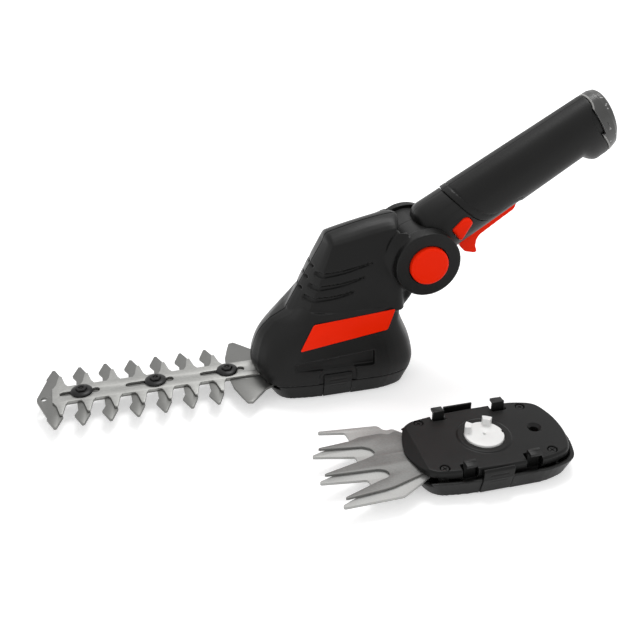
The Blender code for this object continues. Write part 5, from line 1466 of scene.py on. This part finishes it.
def swing_outline():
    """The swinging comb's outline, with the tail that runs back to the crank."""
    arm = -COMB_PIVOT[0]
    far = arm + CRANK + CRANK_PIN + 3.0
    half = CRANK_PIN + GAP
    tail = [comb_point(*spot) for spot in ((10.0, -7.0), (far - 18.0, -8.0), (far, -8.0), (far, 8.0),
                                           (far - 18.0, 8.0), (10.0, 7.0), (-2.0, 9.5))]
    reach = CRANK + CRANK_PIN + GAP
    low, high = arm - reach, arm + reach
    yoke = [comb_point(*spot) for spot in ((low, -half), (high, -half), (high, half), (low, half))]
    return soft_corners(list(GRASS_MOVING) + tail, 1.6, 5), yoke


def comb(loops, low, high, name, finish, body, node, slot):
    """A comb of the grass head, as a plate with broken edges."""
    obj = bevelled(block(plate(loops, low, high)), 0.16)
    finished(obj, name, finish, body, [node], GRASS, crease=30.0)


def combs():
    bore = circle(*COMB_PIVOT, COMB_PIN + GAP, 40)
    comb([soft_corners(GRASS_FIXED, 1.4, 5), *locating_holes(), bore], BLADE_LEVEL, BLADE_LEVEL + FIXED_BLADE,
         "comb_fixed", "comb_steel", "grass_cassette", "grass_fixed_comb", "blade_steel")
    outline, yoke = swing_outline()
    comb([outline, bore, yoke], MOVING_LEVEL, BLADE_TOP, "comb_swinging", "comb_dark", "grass_comb",
         "grass_moving_comb", "dark_steel")


# Stage


def backdrop_floor(size):
    """A white floor that keeps the object's soft shadow."""
    mesh = bpy.data.meshes.new("floor")
    reach = size / 2
    corners = ((-reach, -reach), (reach, -reach), (reach, reach), (-reach, reach))
    mesh.from_pydata(level(corners, FLOOR_LEVEL), [], [(0, 1, 2, 3)])
    floor = bpy.data.objects.new("floor", mesh)
    bpy.context.scene.collection.objects.link(floor)
    made, tree, shader = new_look("floor_white", Roughness=0.9)
    shader.inputs["Base Color"].default_value = (0.86, 0.86, 0.86, 1.0)
    shader.inputs["Specular IOR Level"].default_value = 0.0
    wire(tree, [("path", "ShaderNodeLightPath", {}), ("seen", "ShaderNodeMath", {".operation": "MAXIMUM"}),
                ("place", "ShaderNodeTexCoord", {}),
                ("far", "ShaderNodeVectorMath", {".operation": "LENGTH"}),
                ("white", "ShaderNodeMapRange", {"From Min": 0.4, "From Max": 1.6, "To Min": 0.42,
                                                 "To Max": 0.7}),
                ("level", "ShaderNodeMath", {".operation": "MULTIPLY"}),
                ("glow", "ShaderNodeEmission", {}), ("both", "ShaderNodeAddShader", {})], """
        path.Is Camera Ray > seen.0
        path.Is Glossy Ray > seen.1
        place.Object > far.0
        far.Value > white.Value
        seen.Value > level.0
        white.Result > level.1
        level.Value > glow.Strength
        shader.BSDF > both.0
        glow.Emission > both.1
        both.Shader > output.Surface""", shader=shader, output=tree.nodes["Material Output"])
    mesh.materials.append(made)


def white_world(strength):
    """White to the camera and in reflections, and plain soft light for the rest."""
    world = bpy.data.worlds.new("studio")
    world.use_nodes = True
    bpy.context.scene.world = world
    tree = world.node_tree
    shader = tree.nodes["Background"]
    shader.inputs["Color"].default_value = (1.0, 1.0, 1.0, 1.0)
    wire(tree, [("path", "ShaderNodeLightPath", {}), ("one", "ShaderNodeMath", {".operation": "MAXIMUM"}),
                ("two", "ShaderNodeMath", {".operation": "MAXIMUM"}),
                ("level", "ShaderNodeMapRange", {"To Min": strength, "To Max": 1.0})], """
        path.Is Camera Ray > one.0
        path.Is Glossy Ray > one.1
        one.Value > two.0
        path.Is Transmission Ray > two.1
        two.Value > level.Value
        level.Result > shader.Strength""", shader=shader)


def softbox(name, place, aim, size, power):
    data = bpy.data.lights.new(name, "AREA")
    data.shape = "SQUARE"
    data.size = size
    data.energy = power
    lamp = bpy.data.objects.new(name, data)
    lamp.location = place
    lamp.rotation_euler = (Vector(aim) - Vector(place)).to_track_quat("-Z", "Y").to_euler()
    bpy.context.scene.collection.objects.link(lamp)


def photo_camera():
    data = bpy.data.cameras.new("photo camera")
    data.sensor_width = 36.0
    data.lens = CAMERA_LENS
    camera = bpy.data.objects.new("photo camera", data)
    camera.location = CAMERA_PLACE
    camera.rotation_euler = (math.radians(90.0 - CAMERA_DOWN), 0.0, math.radians(CAMERA_TURN))
    bpy.context.scene.collection.objects.link(camera)
    bpy.context.scene.camera = camera


# Add-on


def length(name, text, value, low, high):
    return FloatProperty(name=name, description=text, default=value, min=low, max=high, precision=4,
                         subtype="DISTANCE", unit="LENGTH")


class ShearSizes(bpy.types.PropertyGroup):
    """Sizes that can be changed without moving a piece off the frame."""

    teeth: IntProperty(name="Teeth", description="Teeth on each side of a shrub blade", default=TEETH, min=2,
                       max=TEETH)
    pitch: length("Pitch", "Distance between two teeth of a shrub blade", PITCH * MM, 0.012, PITCH * MM)
    vent_depth: length("Vent depth", "Depth of the louvres in the housing", 0.0013, 0.0002, 0.0022)
    softness: length("Softness", "Size of the voxels that round the housing's edges", 0.0006, 0.0005, 0.0015)
    floor: length("Floor", "Side of the floor", 12.0, 2.0, 50.0)


def colour_property(name, text, value):
    return FloatVectorProperty(name=name, description=text, default=value, size=3, min=0.0, max=1.0,
                               subtype="COLOR")


class ShearColours(bpy.types.PropertyGroup):
    """Colours of the finishes."""

    housing: colour_property("Housing", "Hard black plastic of the housing and heads",
                             (0.0055, 0.0055, 0.0053))
    grip: colour_property("Grip", "Soft black of the grip", (0.0070, 0.0070, 0.0068))
    accent: colour_property("Accent", "Orange plastic of the buttons and label", (1.0, 0.020, 0.000))
    cap: colour_property("Cap", "Grey plastic of the end cap", (0.055, 0.055, 0.053))
    nylon: colour_property("Nylon", "White plastic of the drive hub", (0.80, 0.80, 0.79))
    bright_steel: colour_property("Bright steel", "Sliding blade", (0.37, 0.37, 0.357))
    dark_steel: colour_property("Dark steel", "Fixed blade", (0.19, 0.19, 0.183))
    comb_steel: colour_property("Comb steel", "Fixed comb of the grass head", (0.40, 0.40, 0.39))
    comb_dark: colour_property("Dark comb steel", "Swinging comb of the grass head", (0.22, 0.22, 0.213))


class SHEARS_OT_housing(bpy.types.Operator):
    """Builds both housing shells"""

    bl_idname = "shears.housing"
    bl_label = "Housing"

    def execute(self, context):
        sizes = context.scene.shear_sizes
        form = housing_form(sizes.vent_depth / MM)
        eased(form, sizes.softness / MM, 5)
        merge(form, seam_groove(), "DIFFERENCE")
        housing_half(form, -1, "housing_left")
        housing_half(form, 1, "housing_right")
        discard(form)
        return {"FINISHED"}


class SHEARS_OT_labels(bpy.types.Operator):
    """Builds the two bare label plates"""

    bl_idname = "shears.labels"
    bl_label = "Label plates"

    def execute(self, context):
        for side, name in ((-1, "left"), (1, "right")):
            obj = bevelled(block(label_slab(side, 0.0, LABEL_THICK, 0.0)), 0.22, 3)
            finished(obj, f"label_{name}", "orange", "housing", [f"label_plate_{name}"])
        return {"FINISHED"}


class SHEARS_OT_housing_screws(bpy.types.Operator):
    """Builds the four screws that hold the housing shells together"""

    bl_idname = "shears.housing_screws"
    bl_label = "Housing screws"

    def execute(self, context):
        side_screws("housing_screws", "housing", numbered("head_screw", 4), HEAD_SCREWS, HERE, 10.0,
                    SCREW_HEAD_Y + GAP, 2.8, 2.0)
        return {"FINISHED"}


class SHEARS_OT_release_button(bpy.types.Operator):
    """Builds the button in the pivot's near side"""

    bl_idname = "shears.release_button"
    bl_label = "Release button"

    def execute(self, context):
        release_button()
        return {"FINISHED"}


class SHEARS_OT_pivot_cover(bpy.types.Operator):
    """Builds the cap on the pivot's far side"""

    bl_idname = "shears.pivot_cover"
    bl_label = "Pivot cover"

    def execute(self, context):
        pivot_cover()
        return {"FINISHED"}


class SHEARS_OT_handle_shells(bpy.types.Operator):
    """Builds both hard halves of the handle"""

    bl_idname = "shears.handle_shells"
    bl_label = "Handle shells"

    def execute(self, context):
        handle_shells()
        return {"FINISHED"}


class SHEARS_OT_soft_grips(bpy.types.Operator):
    """Builds both halves of the soft grip"""

    bl_idname = "shears.soft_grips"
    bl_label = "Soft grips"

    def execute(self, context):
        grips()
        return {"FINISHED"}


class SHEARS_OT_rear_cap(bpy.types.Operator):
    """Builds the cap at the handle's end"""

    bl_idname = "shears.rear_cap"
    bl_label = "End cap"

    def execute(self, context):
        end_cap()
        return {"FINISHED"}


class SHEARS_OT_handle_screws(bpy.types.Operator):
    """Builds the two screws that hold the handle's halves together"""

    bl_idname = "shears.handle_screws"
    bl_label = "Handle screws"

    def execute(self, context):
        side_screws("handle_screws", "handle", numbered("handle_screw", 2), HANDLE_SCREWS, HANDLE_PLACE, 8.0,
                    HANDLE_HEAD_Y + GAP, 2.5, 1.6)
        return {"FINISHED"}


class SHEARS_OT_trigger(bpy.types.Operator):
    """Builds the trigger"""

    bl_idname = "shears.trigger"
    bl_label = "Trigger"

    def execute(self, context):
        trigger()
        return {"FINISHED"}


class SHEARS_OT_thumb_slider(bpy.types.Operator):
    """Builds the lock-off slider"""

    bl_idname = "shears.thumb_slider"
    bl_label = "Lock-off slider"

    def execute(self, context):
        lock_off()
        return {"FINISHED"}


class SHEARS_OT_trays(bpy.types.Operator):
    """Builds the bottom trays of both cutting heads"""

    bl_idname = "shears.trays"
    bl_label = "Trays"

    def execute(self, context):
        tray("shrub_base", "shrub_tray", "housing", HERE, False)
        tray("grass_base", "grass_tray", "grass_cassette", GRASS, True)
        return {"FINISHED"}


class SHEARS_OT_lids(bpy.types.Operator):
    """Builds the top plates of both cutting heads"""

    bl_idname = "shears.lids"
    bl_label = "Lids"

    def execute(self, context):
        cover("shrub_lid", "shrub_cover", "housing", HERE, False)
        cover("grass_lid", "grass_cover", "grass_cassette", GRASS, True)
        return {"FINISHED"}


class SHEARS_OT_tabs(bpy.types.Operator):
    """Builds the two release tabs of each cutting head"""

    bl_idname = "shears.tabs"
    bl_label = "Release tabs"

    def execute(self, context):
        for head, place in (("shrub", HERE), ("grass", GRASS)):
            for side, name in ((-1, "left"), (1, "right")):
                node = f"{head}_latch_{name}"
                latch(f"{head}_tab_{name}", node, node, place, side)
        return {"FINISHED"}


class SHEARS_OT_drive_hubs(bpy.types.Operator):
    """Builds the white hub of each cutting head"""

    bl_idname = "shears.drive_hubs"
    bl_label = "Drive hubs"

    def execute(self, context):
        drive_hub("shrub_drive", "shrub_hub", "output", HERE, 0.0)
        drive_hub("grass_drive", "grass_hub", "grass_hub", GRASS, -26.6)
        return {"FINISHED"}


class SHEARS_OT_shrub_blades(bpy.types.Operator):
    """Builds the fixed and the sliding shrub blade"""

    bl_idname = "shears.shrub_blades"
    bl_label = "Shrub blades"

    def execute(self, context):
        fixed_blade(context.scene.shear_sizes)
        sliding_blade(context.scene.shear_sizes)
        return {"FINISHED"}


class SHEARS_OT_blade_guides(bpy.types.Operator):
    """Builds the three guide screws of the shrub blades"""

    bl_idname = "shears.blade_guides"
    bl_label = "Blade guides"

    def execute(self, context):
        guide_screws()
        return {"FINISHED"}


class SHEARS_OT_combs(bpy.types.Operator):
    """Builds the fixed and the swinging comb of the grass head"""

    bl_idname = "shears.combs"
    bl_label = "Combs"

    def execute(self, context):
        combs()
        return {"FINISHED"}


class SHEARS_OT_cover_screws(bpy.types.Operator):
    """Builds the four screws of the grass head's lid"""

    bl_idname = "shears.cover_screws"
    bl_label = "Cover screws"

    def execute(self, context):
        cover_screws()
        return {"FINISHED"}


class SHEARS_OT_inner_finishes(bpy.types.Operator):
    """Gives every CAD node that stays in view its finish"""

    bl_idname = "shears.inner_finishes"
    bl_label = "Inner finishes"

    def execute(self, context):
        slots = {row["node"]: row["material_slot"] for row in frame["record"]["subparts"]}
        for name, obj in frame["nodes"].items():
            if name in slots and not obj.hide_render:
                for slot in obj.material_slots:
                    slot.material = look(slots[name])
        return {"FINISHED"}


class SHEARS_OT_stage(bpy.types.Operator):
    """Sets up the floor, the light and the camera"""

    bl_idname = "shears.stage"
    bl_label = "Stage"

    def execute(self, context):
        backdrop_floor(context.scene.shear_sizes.floor)
        white_world(WORLD_LIGHT)
        softbox("key light", KEY_PLACE, KEY_AIM, KEY_SIZE, KEY_POWER)
        photo_camera()
        context.scene.view_settings.view_transform = "Standard"
        return {"FINISHED"}


OPERATORS = (
    SHEARS_OT_housing, SHEARS_OT_labels, SHEARS_OT_housing_screws, SHEARS_OT_release_button,
    SHEARS_OT_pivot_cover, SHEARS_OT_handle_shells, SHEARS_OT_soft_grips, SHEARS_OT_rear_cap,
    SHEARS_OT_handle_screws, SHEARS_OT_trigger, SHEARS_OT_thumb_slider, SHEARS_OT_trays, SHEARS_OT_lids,
    SHEARS_OT_tabs, SHEARS_OT_drive_hubs, SHEARS_OT_shrub_blades, SHEARS_OT_blade_guides, SHEARS_OT_combs,
    SHEARS_OT_cover_screws, SHEARS_OT_inner_finishes, SHEARS_OT_stage
)


class SHEARS_PT_panel(bpy.types.Panel):
    """Lists the sizes, the colours and the build steps"""

    bl_idname = "SHEARS_PT_panel"
    bl_label = "Shears"
    bl_space_type = "VIEW_3D"
    bl_region_type = "UI"
    bl_category = "Shears"

    def draw(self, context):
        for group in (context.scene.shear_sizes, context.scene.shear_colours):
            for name in group.__annotations__:
                self.layout.prop(group, name)
        for operator in OPERATORS:
            self.layout.operator(operator.bl_idname)


CLASSES = (ShearSizes, ShearColours, *OPERATORS, SHEARS_PT_panel)


def register():
    for item in CLASSES:
        bpy.utils.register_class(item)
    bpy.types.Scene.shear_sizes = PointerProperty(type=ShearSizes)
    bpy.types.Scene.shear_colours = PointerProperty(type=ShearColours)


def unregister():
    del bpy.types.Scene.shear_colours
    del bpy.types.Scene.shear_sizes
    for item in reversed(CLASSES):
        bpy.utils.unregister_class(item)


def main():
    register()
    for operator in OPERATORS:
        group, name = operator.bl_idname.split(".")
        getattr(getattr(bpy.ops, group), name)()


if __name__ == "__main__":
    main()
